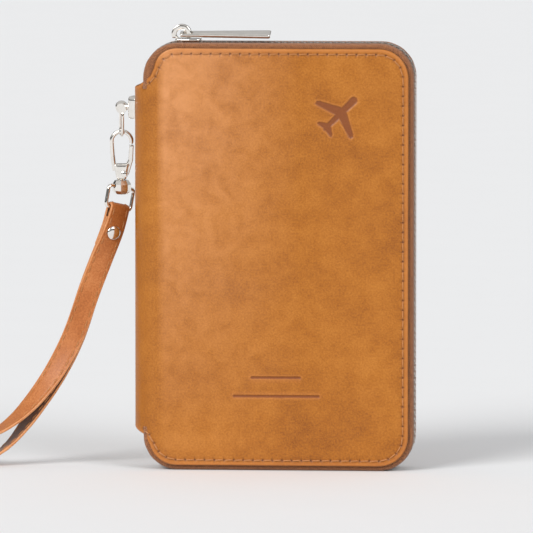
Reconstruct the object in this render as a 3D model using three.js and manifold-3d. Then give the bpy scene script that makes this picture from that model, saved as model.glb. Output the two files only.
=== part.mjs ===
// A zip-around leather travel document organizer with a wrist strap, standing on its lower edge.
// Millimetres, +Z up, front cover towards -Y, spine at -X. The origin is the middle of the rear
// cover's outer face; the pieces are drawn with z = 0 at the lower edge and y = 0 between the covers.
import * as THREE from "three";
import { mergeVertices } from "three/addons/utils/BufferGeometryUtils.js";
import Module from "manifold-3d";

const wasm = await Module();
wasm.setup();

// ---- Driving dimensions ----

const width = 126;
const height = 192;
const thickness = 26;
const gap = 0.3;
const leatherThick = 1.4;
const boardThick = 1.1;
const liningThick = 0.7;
const pocketThick = 0.8;
const coverSet = 2.2;
const highCorner = 10.2;
const lowCorner = 13;
const spineInset = 16.5;
const spineTopInset = 20.5;
const hemWidth = 6.5;
const cornerFromSpine = 6.5;

const boardingDrop = 23;
const cashDrop = 19;
const firstCardDrop = 37;
const cardStep = 22;
const cardSlots = 4;
const passportTall = 109.5;
const pocketMargin = 4;
const pocketFromSpine = 14;
const pocketCorner = 2;
const penLoopRadius = 5.6;
const penLoopWall = 0.9;
const penLoopLow = 78;
const penLoopTall = 26;
const penLoopFromSpine = 6.4;

const pressDepth = 0.35;
const planeFromRight = 33;
const planeFromTop = 31.5;
const planeSize = 10.6;
const planeTurn = THREE.MathUtils.degToRad(-45);
const ruleTall = 1.2;
const shortRule = { from: -10, to: 12.5, z: 42 };
const longRule = { from: -18, to: 21, z: 33.6 };

const tapeThick = 0.7;
const teethThick = 2.1;
const teethDepth = 2.2;
const teethGap = 0.8;
const wallCorner = 15.5;
const wallSet = 4.5;

const sliderLength = 12;
const sliderDepth = 8.6;
const sliderPlate = 1.1;
const sliderFromCorner = 4.2;
const bailRadius = 3.4;
const bailWire = 2.3;
const bailDepth = 3.4;
const bailRise = 2;
const bailBack = 3.1;
const pullLength = 40;
const pullWidth = 8.6;
const pullNeck = 5.6;
const pullRoll = THREE.MathUtils.degToRad(12);
const pullThick = 1.8;

const anchorTurn = THREE.MathUtils.degToRad(22);
const anchorDrop = 30;
const capTall = 10.4;
const capDeep = 7.4;
const capThick = 3.6;
const neckLength = 1.6;
const ballRadius = 2.85;
const neckRadius = 1.3;
const screwRadius = 1.2;

const ringWire = 1.3;
const ringWide = 8.1;
const ringTall = 13.8;
const hookWire = 2;
const hookWide = 11;
const bowTall = 15.5;
const hookBodyTall = 7.2;
const hookBodyWide = 7.6;
const hookBodyDeep = 4.4;
const gateThick = 1.6;
const pinRadius = 0.7;
const barrelWide = 8.5;
const barrelTall = 6.4;
const postRadius = 1.1;
const loopTurn = THREE.MathUtils.degToRad(38);
const loopRoll = THREE.MathUtils.degToRad(12);
const loopWire = 1.7;
const loopPlay = 0.9;
const loopTall = 11.4;

const strapWide = 10;
const strapThick = 1.25;
const rivetRadius = 3.1;
const rivetShank = 1.1;

// ---- Derived places ----

const halfThick = thickness / 2;
const left = -width / 2;
const right = width / 2;
const spineX = left + halfThick;
const spineTop = height - spineTopInset;
const innerRadius = halfThick - leatherThick;
const boardOut = innerRadius - gap;
const boardIn = boardOut - boardThick;
const liningOut = boardIn - gap;
const liningIn = liningOut - liningThick;
const pocketOut = liningIn - gap;
const coverRight = right - coverSet;
const coverLow = coverSet;
const coverHigh = height - coverSet;
const coverCorner = wallCorner - coverSet;
const wallLeft = left + wallSet;
const zipHigh = spineTop - 4;
const zipLow = spineInset + 4;
const anchorHeight = height - anchorDrop;
const loopWide = strapWide + 2 * (loopPlay + loopWire);

// ---- Shapes and solids ----

const colours = {
  leather: [0xc47c3c, 0.55, 0],
  lining: [0x8a6a4e, 0.9, 0],
  board: [0x9a9088, 0.9, 0],
  tape: [0x9a6440, 0.9, 0],
  metal: [0xd8d6d2, 0.25, 1],
};

function solidOf(geometry) {
  const bare = geometry.clone();
  bare.deleteAttribute("normal");
  bare.deleteAttribute("uv");
  const merged = mergeVertices(bare, 1e-4);
  return new wasm.Manifold(
    new wasm.Mesh({
      numProp: 3,
      vertProperties: merged.attributes.position.array,
      triVerts: new Uint32Array(merged.index.array),
    }),
  );
}

function geometryOf(solid) {
  const mesh = solid.getMesh();
  const geometry = new THREE.BufferGeometry();
  geometry.setAttribute("position", new THREE.BufferAttribute(mesh.vertProperties, 3));
  geometry.setIndex(new THREE.BufferAttribute(mesh.triVerts, 1));
  geometry.computeVertexNormals();
  return geometry;
}

function join(first, ...others) {
  return geometryOf(others.reduce((made, other) => made.add(solidOf(other)), solidOf(first)));
}

function cut(first, ...others) {
  return geometryOf(others.reduce((made, other) => made.subtract(solidOf(other)), solidOf(first)));
}

function common(first, second) {
  return geometryOf(solidOf(first).intersect(solidOf(second)));
}

function shapeOf(points) {
  return new THREE.Shape(points);
}

// A shape drawn in x and y, from z = low to z = high.
function upright(shape, low, high, curveSegments = 8) {
  const geometry = new THREE.ExtrudeGeometry(shape, {
    depth: high - low,
    bevelEnabled: false,
    curveSegments,
  });
  return geometry.translate(0, 0, low);
}

// A shape drawn in x and z, from y = near to y = far.
function deep(shape, near, far, curveSegments = 8) {
  const geometry = new THREE.ExtrudeGeometry(shape, {
    depth: far - near,
    bevelEnabled: false,
    curveSegments,
  });
  return geometry.rotateX(Math.PI / 2).translate(0, far, 0);
}

function block(x0, x1, y0, y1, z0, z1) {
  const geometry = new THREE.BoxGeometry(x1 - x0, y1 - y0, z1 - z0);
  return geometry.translate((x0 + x1) / 2, (y0 + y1) / 2, (z0 + z1) / 2);
}

// A round bar of the given radius along axis "x", "y" or "z".
function bar(axis, radius, from, to, sides = 16) {
  const geometry = new THREE.CylinderGeometry(radius, radius, to - from, sides);
  geometry.translate(0, (from + to) / 2, 0);
  if (axis === "x") geometry.rotateZ(-Math.PI / 2);
  if (axis === "z") geometry.rotateX(Math.PI / 2);
  return geometry;
}

// Points round an arc in a plane, angles in degrees.
function arc(cx, cy, radius, from, to, steps = 6) {
  return Array.from({ length: steps + 1 }, (_, i) => {
    const angle = THREE.MathUtils.degToRad(from + ((to - from) * i) / steps);
    return new THREE.Vector2(cx + radius * Math.cos(angle), cy + radius * Math.sin(angle));
  });
}

function roundedRect(x0, x1, z0, z1, radius) {
  return shapeOf([
    ...arc(x1 - radius, z1 - radius, radius, 0, 90, 4),
    ...arc(x0 + radius, z1 - radius, radius, 90, 180, 4),
    ...arc(x0 + radius, z0 + radius, radius, 180, 270, 4),
    ...arc(x1 - radius, z0 + radius, radius, 270, 360, 4),
  ]);
}

function piece(name, geometry, kind) {
  const [color, roughness, metalness] = colours[kind];
  const mesh = new THREE.Mesh(
    geometry,
    new THREE.MeshStandardMaterial({ color, roughness, metalness }),
  );
  mesh.name = name;
  return mesh;
}

// ---- Covers and spine ----

// Outline of the leather seen from the front: round corners on the covers, and a shorter spine.
function leatherOutline() {
  const leftCorner = spineX + cornerFromSpine;
  const low = coverLow + coverCorner;
  const high = coverHigh - coverCorner;
  const openSide = coverRight - coverCorner;
  const flare = (corners, z) => corners.map(([x, dz]) => new THREE.Vector2(left + x, z + dz));
  return shapeOf([
    ...arc(openSide, high, coverCorner, 0, 90),
    ...arc(leftCorner, coverHigh - highCorner, highCorner, 90, 180),
    ...flare([[7.8, 6.1], [4.4, 3.7], [2, 0.9], [-1, 0]], spineTop),
    ...flare([[-1, 0], [4.1, -0.5], [4.9, -1.6]], spineInset),
    ...arc(leftCorner, coverLow + lowCorner, lowCorner, 190, 270),
    ...arc(openSide, low, coverCorner, 270, 360),
  ]);
}

// Section of one layer that lies flat on a cover and follows the spine's curve down to `angle`.
function coverSection(outer, thick, side, flatEnd, angle) {
  const inner = outer - thick;
  const bend = arc(spineX, 0, outer, 90, angle, 6);
  const back = arc(spineX, 0, inner, angle, 90, 6);
  const points = [
    new THREE.Vector2(flatEnd, inner),
    new THREE.Vector2(flatEnd, outer),
    ...bend,
    ...back,
  ];
  return shapeOf(points.map((p) => new THREE.Vector2(p.x, side * p.y)));
}

function sheetOnCover(outer, thick, side, x0, x1, z0, z1, radius) {
  const near = side > 0 ? outer - thick : -outer;
  return deep(roundedRect(x0, x1, z0, z1, radius), near, near + thick);
}

const foldAngle = 135;
const foldClear = 1.5;

function coverLeather(side) {
  const flat = upright(
    coverSection(halfThick, leatherThick, side, right + 1, foldAngle - foldClear),
    -1,
    height + 1,
  );
  return common(flat, deep(leatherOutline(), -halfThick - 1, halfThick + 1));
}

// The pictogram pressed into the front cover, nose up before it is turned.
function aeroplane(cx, cz, size, turn) {
  const half = [
    [0, 1],
    [0.1, 0.86],
    [0.12, 0.34],
    [1.02, -0.26],
    [1.02, -0.44],
    [0.13, -0.22],
    [0.1, -0.68],
    [0.36, -0.9],
    [0.36, -1.02],
    [0, -0.92],
  ];
  const mirrored = half.slice(1, -1).reverse().map(([x, z]) => [-x, z]);
  const origin = new THREE.Vector2(0, 0);
  const points = [...half, ...mirrored].map(([x, z]) =>
    new THREE.Vector2(x * size, z * size)
      .rotateAround(origin, turn)
      .add(new THREE.Vector2(cx, cz)),
  );
  return shapeOf(points.reverse());
}

function pressedMarks() {
  const top = -halfThick + pressDepth;
  const plane = aeroplane(right - planeFromRight, height - planeFromTop, planeSize, planeTurn);
  const rules = [shortRule, longRule].map(({ from, to, z }) =>
    roundedRect(from, to, z, z + ruleTall, ruleTall * 0.4),
  );
  return [plane, ...rules].map((mark) => deep(mark, -halfThick - 1, top));
}

// Turns a piece drawn along the anchor's own axis (outwards is -x, from the spine's centre line).
function atAnchor(geometry) {
  return geometry.rotateZ(-anchorTurn).translate(spineX, 0, anchorHeight);
}

const spineLiningOut = innerRadius - gap;
const spineLiningIn = spineLiningOut - liningThick;

function screwHole() {
  return atAnchor(bar("x", screwRadius + gap, -halfThick - 2, -spineLiningIn + 2, 12));
}

function spineLayer(outer, thick, low, high, from, to) {
  const points = [
    ...arc(spineX, 0, outer, from, to, 10),
    ...arc(spineX, 0, outer - thick, to, from, 10),
  ];
  return upright(shapeOf(points), low, high);
}

const spineFrom = foldAngle + foldClear;
const spineTo = 360 - foldAngle - foldClear;

function spineLeather() {
  const full = spineLayer(halfThick, leatherThick, -1, height + 1, spineFrom, spineTo);
  const trimmed = common(full, deep(leatherOutline(), -halfThick - 1, halfThick + 1));
  return cut(trimmed, screwHole());
}

function spineLining() {
  const low = zipLow + 1;
  const high = zipHigh - 1;
  const layer = spineLayer(spineLiningOut, liningThick, low, high, spineFrom + 4, spineTo - 4);
  return cut(layer, screwHole());
}

// ---- Zip ----

// Line of the zip at a distance `inset` inside the outer outline, from the spine's top end, over
// the top, down the open side and back to the spine's lower end.
function zipLine(inset, cornerRadius = wallCorner) {
  const r = cornerRadius - inset;
  const c = cornerRadius;
  return [
    new THREE.Vector2(wallLeft + inset, zipHigh),
    ...arc(wallLeft + c, height - c, r, 180, 90, 8),
    ...arc(right - c, height - c, r, 90, 0, 8),
    ...arc(right - c, c, r, 0, -90, 8),
    ...arc(wallLeft + c, c, r, 270, 180, 8),
    new THREE.Vector2(wallLeft + inset, zipLow),
  ];
}

function zipBand(outerInset, innerInset, near, far) {
  const points = [...zipLine(outerInset), ...zipLine(innerInset).reverse()];
  return deep(shapeOf(points), near, far);
}

// Everything that fits inside the leather's inner face.
function insideLeather() {
  const reach = innerRadius - gap;
  const points = [
    new THREE.Vector2(right + 1, -reach),
    new THREE.Vector2(right + 1, reach),
    ...arc(spineX, 0, reach, 90, 270, 16),
  ];
  return upright(shapeOf(points), -1, height + 1);
}

const tapeEnd = teethGap / 2 + teethDepth + gap;

function zipTape(side) {
  const wall = side > 0 ? [tapeEnd, boardOut] : [-boardOut, -tapeEnd];
  const hem = side > 0 ? [boardIn, boardOut] : [-boardOut, -boardIn];
  const wallPart = zipBand(0, tapeThick, ...wall);
  const hemPart = zipBand(0, hemWidth, ...hem);
  return common(join(wallPart, hemPart), insideLeather());
}

function zipTeeth(side) {
  const near = side > 0 ? teethGap / 2 : -teethGap / 2 - teethDepth;
  return zipBand(0, teethThick, near, near + teethDepth);
}

const sliderX = wallLeft + wallCorner + sliderFromCorner;

function sliderBody() {
  const half = sliderLength / 2;
  const plate = roundedRect(-half, half, -sliderDepth / 2, sliderDepth / 2, 2.6);
  const top = upright(plate, height + gap, height + gap + sliderPlate);
  const inside = height - teethThick - gap;
  const bottom = upright(plate, inside - sliderPlate, inside);
  const web = block(-half + 0.6, -half + 3.2, -0.15, 0.15, inside - 0.2, height + gap + 0.2);
  return join(top, bottom, web).translate(sliderX, 0, 0);
}

const bailBase = height + gap + sliderPlate + gap;
const bailCentre = { x: sliderX - bailBack, z: bailBase + bailRise - gap };

function sliderBail() {
  const outer = bailRadius + bailWire / 2;
  const hole = bailRadius - bailWire / 2;
  const ring = [...arc(0, 0, outer, -15, 195, 14), ...arc(0, 0, hole, 195, -15, 14)];
  const half = bailDepth / 2;
  const arch = deep(shapeOf(ring), -half, half).translate(bailCentre.x, 0, bailCentre.z);
  const reach = outer - 0.5;
  const foot = bailBase + 0.45;
  const legs = [-1, 1].flatMap((side) => {
    const x = bailCentre.x + side * (bailRadius + 0.1);
    const middle = bailCentre.x + (side * (reach + hole)) / 2;
    const wide = (reach - hole) / 2;
    return [
      block(x - 0.75, x + 0.75, -half, half, bailBase + 0.1, bailCentre.z - 0.4),
      block(middle - wide, middle + wide, -half, half, bailBase, foot),
    ];
  });
  return join(arch, ...legs);
}

// The pull's end bar sits in the bail's eye, and its window clears the bail all the way round.
function pullTab() {
  const barHalf = 0.75;
  const windowEnd = bailRadius + bailWire / 2 + gap;
  const windowHalf = bailDepth / 2 + 2 * gap;
  const neck = pullNeck / 2;
  const wide = pullWidth / 2;
  const outline = shapeOf([
    ...arc(wide - 0.7, -pullLength + 0.7, 0.7, 270, 360, 3),
    new THREE.Vector2(neck, -windowEnd - 3),
    ...arc(neck - 0.7, barHalf - 0.7, 0.7, 0, 90, 3),
    ...arc(-neck + 0.7, barHalf - 0.7, 0.7, 90, 180, 3),
    new THREE.Vector2(-neck, -windowEnd - 3),
    ...arc(-wide + 0.7, -pullLength + 0.7, 0.7, 180, 270, 3),
  ]);
  outline.holes.push(
    new THREE.Path([
      new THREE.Vector2(-windowHalf, -windowEnd),
      new THREE.Vector2(windowHalf, -windowEnd),
      new THREE.Vector2(windowHalf, -barHalf),
      new THREE.Vector2(-windowHalf, -barHalf),
    ]),
  );
  const plate = upright(outline, -pullThick / 2, pullThick / 2);
  plate.rotateZ(Math.PI / 2).rotateX(pullRoll);
  return plate.translate(bailCentre.x, 0, bailCentre.z);
}

// ---- Pockets ----

const pocketLeft = spineX + pocketFromSpine;
const pocketRight = right - hemWidth - pocketMargin;
const pocketLow = hemWidth + pocketMargin;

function pocketPanel(side, layer, top) {
  const outer = pocketOut - layer * (pocketThick + gap);
  const box = [pocketLeft, pocketRight, pocketLow, top];
  return sheetOnCover(outer, pocketThick, side, ...box, pocketCorner);
}

function penLoop() {
  const centre = liningIn - gap - penLoopRadius;
  const circle = (radius) => arc(0, 0, radius, 0, 360, 20).slice(0, -1);
  const ring = shapeOf(circle(penLoopRadius));
  ring.holes.push(new THREE.Path(circle(penLoopRadius - penLoopWall).reverse()));
  const loop = upright(ring, penLoopLow, penLoopLow + penLoopTall);
  return loop.translate(spineX + penLoopFromSpine, centre, 0);
}

// ---- Strap hardware ----

function anchorCap() {
  const shape = roundedRect(-capDeep / 2, capDeep / 2, -capTall / 2, capTall / 2, 2.2);
  const bevel = 0.8;
  const plate = new THREE.ExtrudeGeometry(shape, {
    depth: capThick - 2 * bevel,
    bevelThickness: bevel,
    bevelSize: bevel,
    bevelOffset: -bevel,
    bevelSegments: 2,
    curveSegments: 6,
  });
  plate.rotateX(Math.PI / 2).rotateZ(-Math.PI / 2);
  plate.computeBoundingBox();
  plate.translate(-halfThick - gap - plate.boundingBox.max.x, 0, 0);
  const seat = bar("x", neckRadius + gap, capOuter - 1, capOuter + 1.3, 16);
  const thread = bar("x", screwRadius + gap, capOuter + 1.7, -halfThick + 1, 12);
  return atAnchor(cut(plate, seat, thread));
}

const capOuter = -halfThick - gap - capThick;
const ballX = capOuter - neckLength - ballRadius;
const ball = {
  x: spineX + ballX * Math.cos(anchorTurn),
  y: -ballX * Math.sin(anchorTurn),
  z: anchorHeight,
};

function anchorScrew() {
  const shank = bar("x", screwRadius, capOuter + 2, -spineLiningIn + 1, 12);
  const head = bar("x", 2.6, -spineLiningIn + 0.65, -spineLiningIn + 1.5, 16);
  return atAnchor(join(shank, head));
}

const ringTopZ = ball.z - 0.5;
const ringSag = ringWide / 2 - ringWire / 2;

function ballStud() {
  const sphere = new THREE.SphereGeometry(ballRadius, 20, 14).translate(ballX, 0, 0);
  const neck = bar("x", neckRadius, ballX, capOuter + 1, 16);
  const waist = ringWire / 2 + 0.2;
  const mouth = waist + 2.2;
  const reach = ballRadius + 0.6;
  const profile = [
    new THREE.Vector2(0, -reach),
    new THREE.Vector2(mouth, -reach),
    new THREE.Vector2(waist, -0.5),
    new THREE.Vector2(waist, 0.5),
    new THREE.Vector2(mouth, reach),
    new THREE.Vector2(0, reach),
  ];
  const eye = new THREE.LatheGeometry(profile, 14).translate(ball.x, ball.y, ringTopZ);
  return cut(atAnchor(join(sphere, neck)), eye);
}

class WireLine extends THREE.Curve {
  constructor(points) {
    super();
    this.line = new THREE.CatmullRomCurve3(points, true, "centripetal");
  }
  getPoint(t, target) {
    return this.line.getPoint(t, target);
  }
}

// A closed wire ring through points that share a plane.
function wireRing(points, radius, steps, sides = 8) {
  return new THREE.TubeGeometry(new WireLine(points), steps, radius, sides, true);
}

function linkRing() {
  const a = ringSag;
  const half = (ringTall - ringWire) / 2;
  const points = [
    ...arc(0, half - a, a, 0, 180, 6),
    ...arc(0, -half + a, a, 180, 360, 6),
  ].map((p) => new THREE.Vector3(0, p.x, p.y));
  return wireRing(points, ringWire / 2, 36).translate(ball.x, ball.y, ringTopZ - half);
}

const bowTop = ringTopZ - (ringTall - ringWire) + ringWire / 2 + hookWire / 2 + gap;
const hookTop = bowTop + hookWire / 2 - bowTall;
const hookLow = hookTop - hookBodyTall;
const bowRadius = (hookWide - hookWire) / 2;
const gateTop = bowTop - bowRadius - 1.4;
const pinX = 1.4;
const postReach = 0.6;
const pinZ = hookLow + 2.6;

function bowLine() {
  const points = [
    new THREE.Vector3(-bowRadius + 1, 0, hookTop - 1),
    new THREE.Vector3(-bowRadius + 0.55, 0, hookTop + 2),
    ...arc(0, bowTop - bowRadius, bowRadius, 180, 0, 8).map((p) => new THREE.Vector3(p.x, 0, p.y)),
    new THREE.Vector3(bowRadius, 0, gateTop + gap),
  ];
  return new THREE.CatmullRomCurve3(points, false, "centripetal");
}

function wire(curve, radius, steps, sides = 8) {
  const section = new THREE.Shape().absarc(0, 0, radius, 0, 2 * Math.PI);
  return new THREE.ExtrudeGeometry(section, {
    steps,
    curveSegments: sides,
    extrudePath: curve,
    bevelEnabled: false,
  });
}

function hookBody() {
  const top = hookBodyWide / 2;
  const low = top - 1.2;
  const outline = shapeOf([
    new THREE.Vector2(-top, hookTop),
    new THREE.Vector2(-low, hookLow),
    new THREE.Vector2(low, hookLow),
    new THREE.Vector2(top, hookTop),
  ]);
  const body = deep(outline, -hookBodyDeep / 2, hookBodyDeep / 2);
  const slotHalf = gateThick / 2 + gap;
  const slot = block(-0.9, hookWide, -slotHalf, slotHalf, pinZ - 1.6, hookTop + 1);
  const pinHole = bar("y", pinRadius + gap, -hookBodyDeep, hookBodyDeep, 12);
  const postHole = bar("z", postRadius + gap, hookLow - 1, hookLow + postReach + gap, 14);
  const made = cut(
    join(body, wire(bowLine(), hookWire / 2, 22)),
    slot,
    pinHole.translate(pinX, 0, pinZ),
    postHole,
  );
  return made.translate(ball.x, ball.y, 0);
}

function hookGate() {
  const outline = shapeOf([
    new THREE.Vector2(pinX - 1.5, pinZ - 0.6),
    new THREE.Vector2(pinX + 0.4, pinZ - 1.3),
    new THREE.Vector2(pinX + 1.9, pinZ - 0.2),
    new THREE.Vector2(bowRadius + 0.7, hookTop + 1.4),
    new THREE.Vector2(bowRadius + 1, gateTop - 0.7),
    new THREE.Vector2(bowRadius - 1, gateTop),
    new THREE.Vector2(bowRadius - 1.5, hookTop + 1.6),
    new THREE.Vector2(pinX - 1.5, pinZ + 1.4),
  ]);
  const lever = deep(outline, -gateThick / 2, gateThick / 2);
  const hole = bar("y", pinRadius + gap, -3, 3, 12).translate(pinX, 0, pinZ);
  return cut(lever, hole).translate(ball.x, ball.y, 0);
}

function gatePin() {
  const half = hookBodyDeep / 2;
  const shank = bar("y", pinRadius, -half - 0.6, half + 0.6, 12);
  const front = bar("y", 1.5, -half - 1, -half - gap, 16);
  const back = bar("y", 1.5, half + gap, half + 1, 16);
  return join(shank, front, back).translate(ball.x + pinX, ball.y, pinZ);
}

const barrelTop = hookLow - gap;
const barrelZ = barrelTop - barrelTall / 2;

// Puts a piece drawn about the swivel's centre, with the loop's long side along x, in its place.
function atSwivel(geometry, roll) {
  return geometry.rotateY(roll).rotateZ(loopTurn).translate(ball.x, ball.y, barrelZ);
}

function swivelBarrel() {
  const half = barrelTall / 2;
  const outer = barrelWide / 2;
  const profile = [
    [0, -half],
    [outer - 1.5, -half],
    [outer, -half + 1.6],
    [outer, half - 1.8],
    [outer - 1.2, half],
    [postRadius, half],
    [postRadius, half + gap + postReach],
    [0, half + gap + postReach],
  ].map(([x, y]) => new THREE.Vector2(x, y));
  const barrel = new THREE.LatheGeometry(profile, 8).rotateX(Math.PI / 2);
  const bore = bar("x", loopWire / 2 + gap, -barrelWide, barrelWide, 12);
  return cut(atSwivel(barrel, 0), atSwivel(bore, loopRoll));
}

const loopHalf = (loopWide - loopWire) / 2;
const loopDrop = loopTall - loopWire;

function strapLoop() {
  const r = 1.6;
  const points = [
    ...arc(loopHalf - r, -r, r, 0, 90, 3),
    new THREE.Vector2(0, 0),
    ...arc(-loopHalf + r, -r, r, 90, 180, 3),
    new THREE.Vector2(-loopHalf, -loopDrop / 2),
    ...arc(-loopHalf + r, -loopDrop + r, r, 180, 270, 3),
    new THREE.Vector2(0, -loopDrop),
    ...arc(loopHalf - r, -loopDrop + r, r, 270, 360, 3),
    new THREE.Vector2(loopHalf, -loopDrop / 2),
  ].map((p) => new THREE.Vector3(p.x, 0, p.y));
  return atSwivel(wireRing(points, loopWire / 2, 48), loopRoll);
}

// ---- Wrist strap ----

const loopAlong = new THREE.Vector3(1, 0, 0);
const loopDown = new THREE.Vector3(0, 0, -1);
for (const axis of [loopAlong, loopDown]) {
  axis.applyAxisAngle(new THREE.Vector3(0, 1, 0), loopRoll);
  axis.applyAxisAngle(new THREE.Vector3(0, 0, 1), loopTurn);
}
const barCentre = new THREE.Vector3(ball.x, ball.y, barrelZ).addScaledVector(loopDown, loopDrop);

// Route of the strap's middle between its two leaves, from the rivet to the far bend on the
// surface: [x, y and z from the loop's bar, turn of its width about z in degrees, half opening].
const strapRoute = [
  [-0.9, -0.3, -4, 37, 1.55],
  [-2.5, -0.7, -9.6, 30, 1.55],
  [-4.6, -1, -15.4, 25, 1.3],
  [-7, -1.3, -21.6, 19, 0.9],
  [-12.6, -2.3, -36.4, 9, 0.95],
  [-20, -3.3, -58, -6, 1.1],
  [-27.9, -4.3, -73.8, -20, 1.3],
  [-36.3, -5.3, -86.6, -36, 1.9],
  [-44.5, -6.1, -96.9, -54, 3],
  [-53.6, -6.5, -105, -72, 4.4],
  [-62.1, -6.5, -108.9, -84, 5.4],
  [-68.1, -6.5, -110, -90, 5.6],
];
const tabReach = 18.5;
const rearEnd = 4.6;
const rivetAt = 11;
const leafPitch = strapThick + gap;

const routeLine = new THREE.CatmullRomCurve3(
  [
    barCentre,
    ...strapRoute.map(([x, y, z]) => new THREE.Vector3(x, y, z).add(barCentre)),
  ],
  false,
  "centripetal",
);
const routeLength = routeLine.getLength();

function between(values, t) {
  const at = t * (values.length - 1);
  const i = Math.min(Math.floor(at), values.length - 2);
  return values[i] + (values[i + 1] - values[i]) * (at - i);
}

const turns = [38, ...strapRoute.map((row) => row[3])];
const halves = [1.6, ...strapRoute.map((row) => row[4])];

// The strap's frame at a distance along its route: middle, direction, width and front normal.
function strapFrame(distance) {
  const u = Math.min(distance / routeLength, 1);
  const t = routeLine.getUtoTmapping(u);
  const turn = THREE.MathUtils.degToRad(between(turns, t));
  const middle = routeLine.getPoint(t);
  const along = routeLine.getTangent(t);
  const across = new THREE.Vector3(Math.cos(turn), Math.sin(turn), 0);
  across.addScaledVector(along, -across.dot(along)).normalize();
  const front = new THREE.Vector3().crossVectors(along, across);
  return { middle, along, across, front, half: between(halves, t) };
}

function smooth(from, to, value) {
  return THREE.MathUtils.smoothstep(value, from, to);
}

// Middle lines of the strip: from the tab's end behind, up and over the bar, down the front leaf,
// round the far bend and back up the rear leaf, which ends between the front leaf and the tab.
function stripLine() {
  const rows = [];
  const add = (distance, offset) => {
    const frame = strapFrame(distance);
    rows.push({
      at: frame.middle.addScaledVector(frame.front, offset),
      across: frame.across,
    });
  };
  const wrap = loopWire / 2 + gap + strapThick / 2;
  for (const distance of [tabReach, 15, 11.5, 8, 5]) add(distance, -leafPitch);
  const top = strapFrame(0);
  for (const { x, y } of arc(0, 0, wrap, 180, 0, 8)) {
    rows.push({
      at: barCentre
        .clone()
        .addScaledVector(top.front, x)
        .addScaledVector(top.along, -y),
      across: top.across,
    });
  }
  const leafOffset = (distance) => strapFrame(distance).half;
  const steps = 26;
  const first = 5;
  for (let i = 0; i <= steps; i++) {
    const distance = first + ((routeLength - first) * i) / steps;
    add(distance, leafOffset(distance));
  }
  const end = strapFrame(routeLength);
  for (const { x, y } of arc(0, 0, end.half, 90, -90, 8).slice(1, -1)) {
    rows.push({
      at: end.middle.clone().addScaledVector(end.along, x).addScaledVector(end.front, y),
      across: end.across,
    });
  }
  for (let i = 0; i <= steps; i++) {
    const distance = routeLength - ((routeLength - rearEnd) * i) / steps;
    const free = smooth(tabReach - 5, tabReach + 4, distance);
    add(distance, -leafOffset(distance) * free);
  }
  return rows;
}

// A flat strip along its middle line, as one closed body.
function strip(rows, wide, thick) {
  const positions = [];
  const index = [];
  rows.forEach((row, i) => {
    const before = rows[Math.max(i - 1, 0)].at;
    const after = rows[Math.min(i + 1, rows.length - 1)].at;
    const along = new THREE.Vector3().subVectors(after, before).normalize();
    const face = new THREE.Vector3().crossVectors(along, row.across).normalize();
    const across = new THREE.Vector3().crossVectors(face, along).normalize();
    for (const [u, v] of [[-1, -1], [1, -1], [1, 1], [-1, 1]]) {
      const corner = row.at
        .clone()
        .addScaledVector(across, (u * wide) / 2)
        .addScaledVector(face, (v * thick) / 2);
      positions.push(corner.x, corner.y, corner.z);
    }
  });
  for (let i = 0; i < rows.length - 1; i++) {
    for (let k = 0; k < 4; k++) {
      const a = 4 * i + k;
      const b = 4 * i + ((k + 1) % 4);
      index.push(a, b, b + 4, a, b + 4, a + 4);
    }
  }
  const last = 4 * (rows.length - 1);
  index.push(0, 2, 1, 0, 3, 2, last, last + 1, last + 2, last, last + 2, last + 3);
  const geometry = new THREE.BufferGeometry();
  geometry.setAttribute("position", new THREE.Float32BufferAttribute(positions, 3));
  geometry.setIndex(index);
  return geometry;
}

// Puts a piece drawn along z (front is +z) on the strap at the rivet.
function atRivet(geometry) {
  const frame = strapFrame(rivetAt);
  const basis = new THREE.Matrix4().makeBasis(frame.across, frame.along.negate(), frame.front);
  return geometry.applyMatrix4(basis.setPosition(frame.middle));
}

const stackHalf = leafPitch + strapThick / 2;

function wristStrap() {
  const hole = bar("z", rivetShank + gap, -stackHalf - 3, stackHalf + 3, 14);
  return cut(strip(stripLine(), strapWide, strapThick), atRivet(hole));
}

function rivetCap(rise) {
  const points = [
    new THREE.Vector2(0, 0),
    new THREE.Vector2(rivetRadius, 0),
    new THREE.Vector2(rivetRadius, 0.35),
    new THREE.Vector2(rivetRadius * 0.75, rise * 0.75),
    new THREE.Vector2(rivetRadius * 0.4, rise * 0.95),
    new THREE.Vector2(0, rise),
  ];
  return new THREE.LatheGeometry(points, 20).rotateX(Math.PI / 2);
}

function strapRivet() {
  const cap = rivetCap(1.2).translate(0, 0, stackHalf + gap);
  return atRivet(join(cap, bar("z", rivetShank, -stackHalf - 0.6, stackHalf + gap + 0.2, 14)));
}

function strapRivetBack() {
  const cap = rivetCap(1.4).rotateX(Math.PI).translate(0, 0, -stackHalf - gap);
  return atRivet(cut(cap, bar("z", rivetShank + gap, -stackHalf - 0.95, stackHalf, 14)));
}

// ---- Assembly ----

const organizer = new THREE.Group();
organizer.position.set(0, -halfThick, -height / 2);

const sides = [
  { name: "back", side: 1 },
  { name: "front", side: -1 },
];
const boardInset = hemWidth + gap;
const liningInset = tapeThick + 2 * gap;
const boardCorner = wallCorner - boardInset;

for (const { name, side } of sides) {
  const cover = coverLeather(side);
  const boardBox = [spineX + 1, right - boardInset, boardInset, height - boardInset];
  const liningBox = [spineX + 1, right - liningInset, liningInset, height - liningInset];
  const liningCorner = wallCorner - liningInset;
  const lining = sheetOnCover(liningOut, liningThick, side, ...liningBox, liningCorner);
  const leather = side < 0 ? cut(cover, ...pressedMarks()) : cover;
  organizer.add(
    piece(`${name}_leather`, leather, "leather"),
    piece(`${name}_board`, sheetOnCover(boardOut, boardThick, side, ...boardBox, boardCorner), "board"),
    piece(`${name}_lining`, lining, "lining"),
    piece(`${name}_zip_tape`, zipTape(side), "tape"),
    piece(`${name}_zip_teeth`, zipTeeth(side), "metal"),
  );
}

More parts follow.
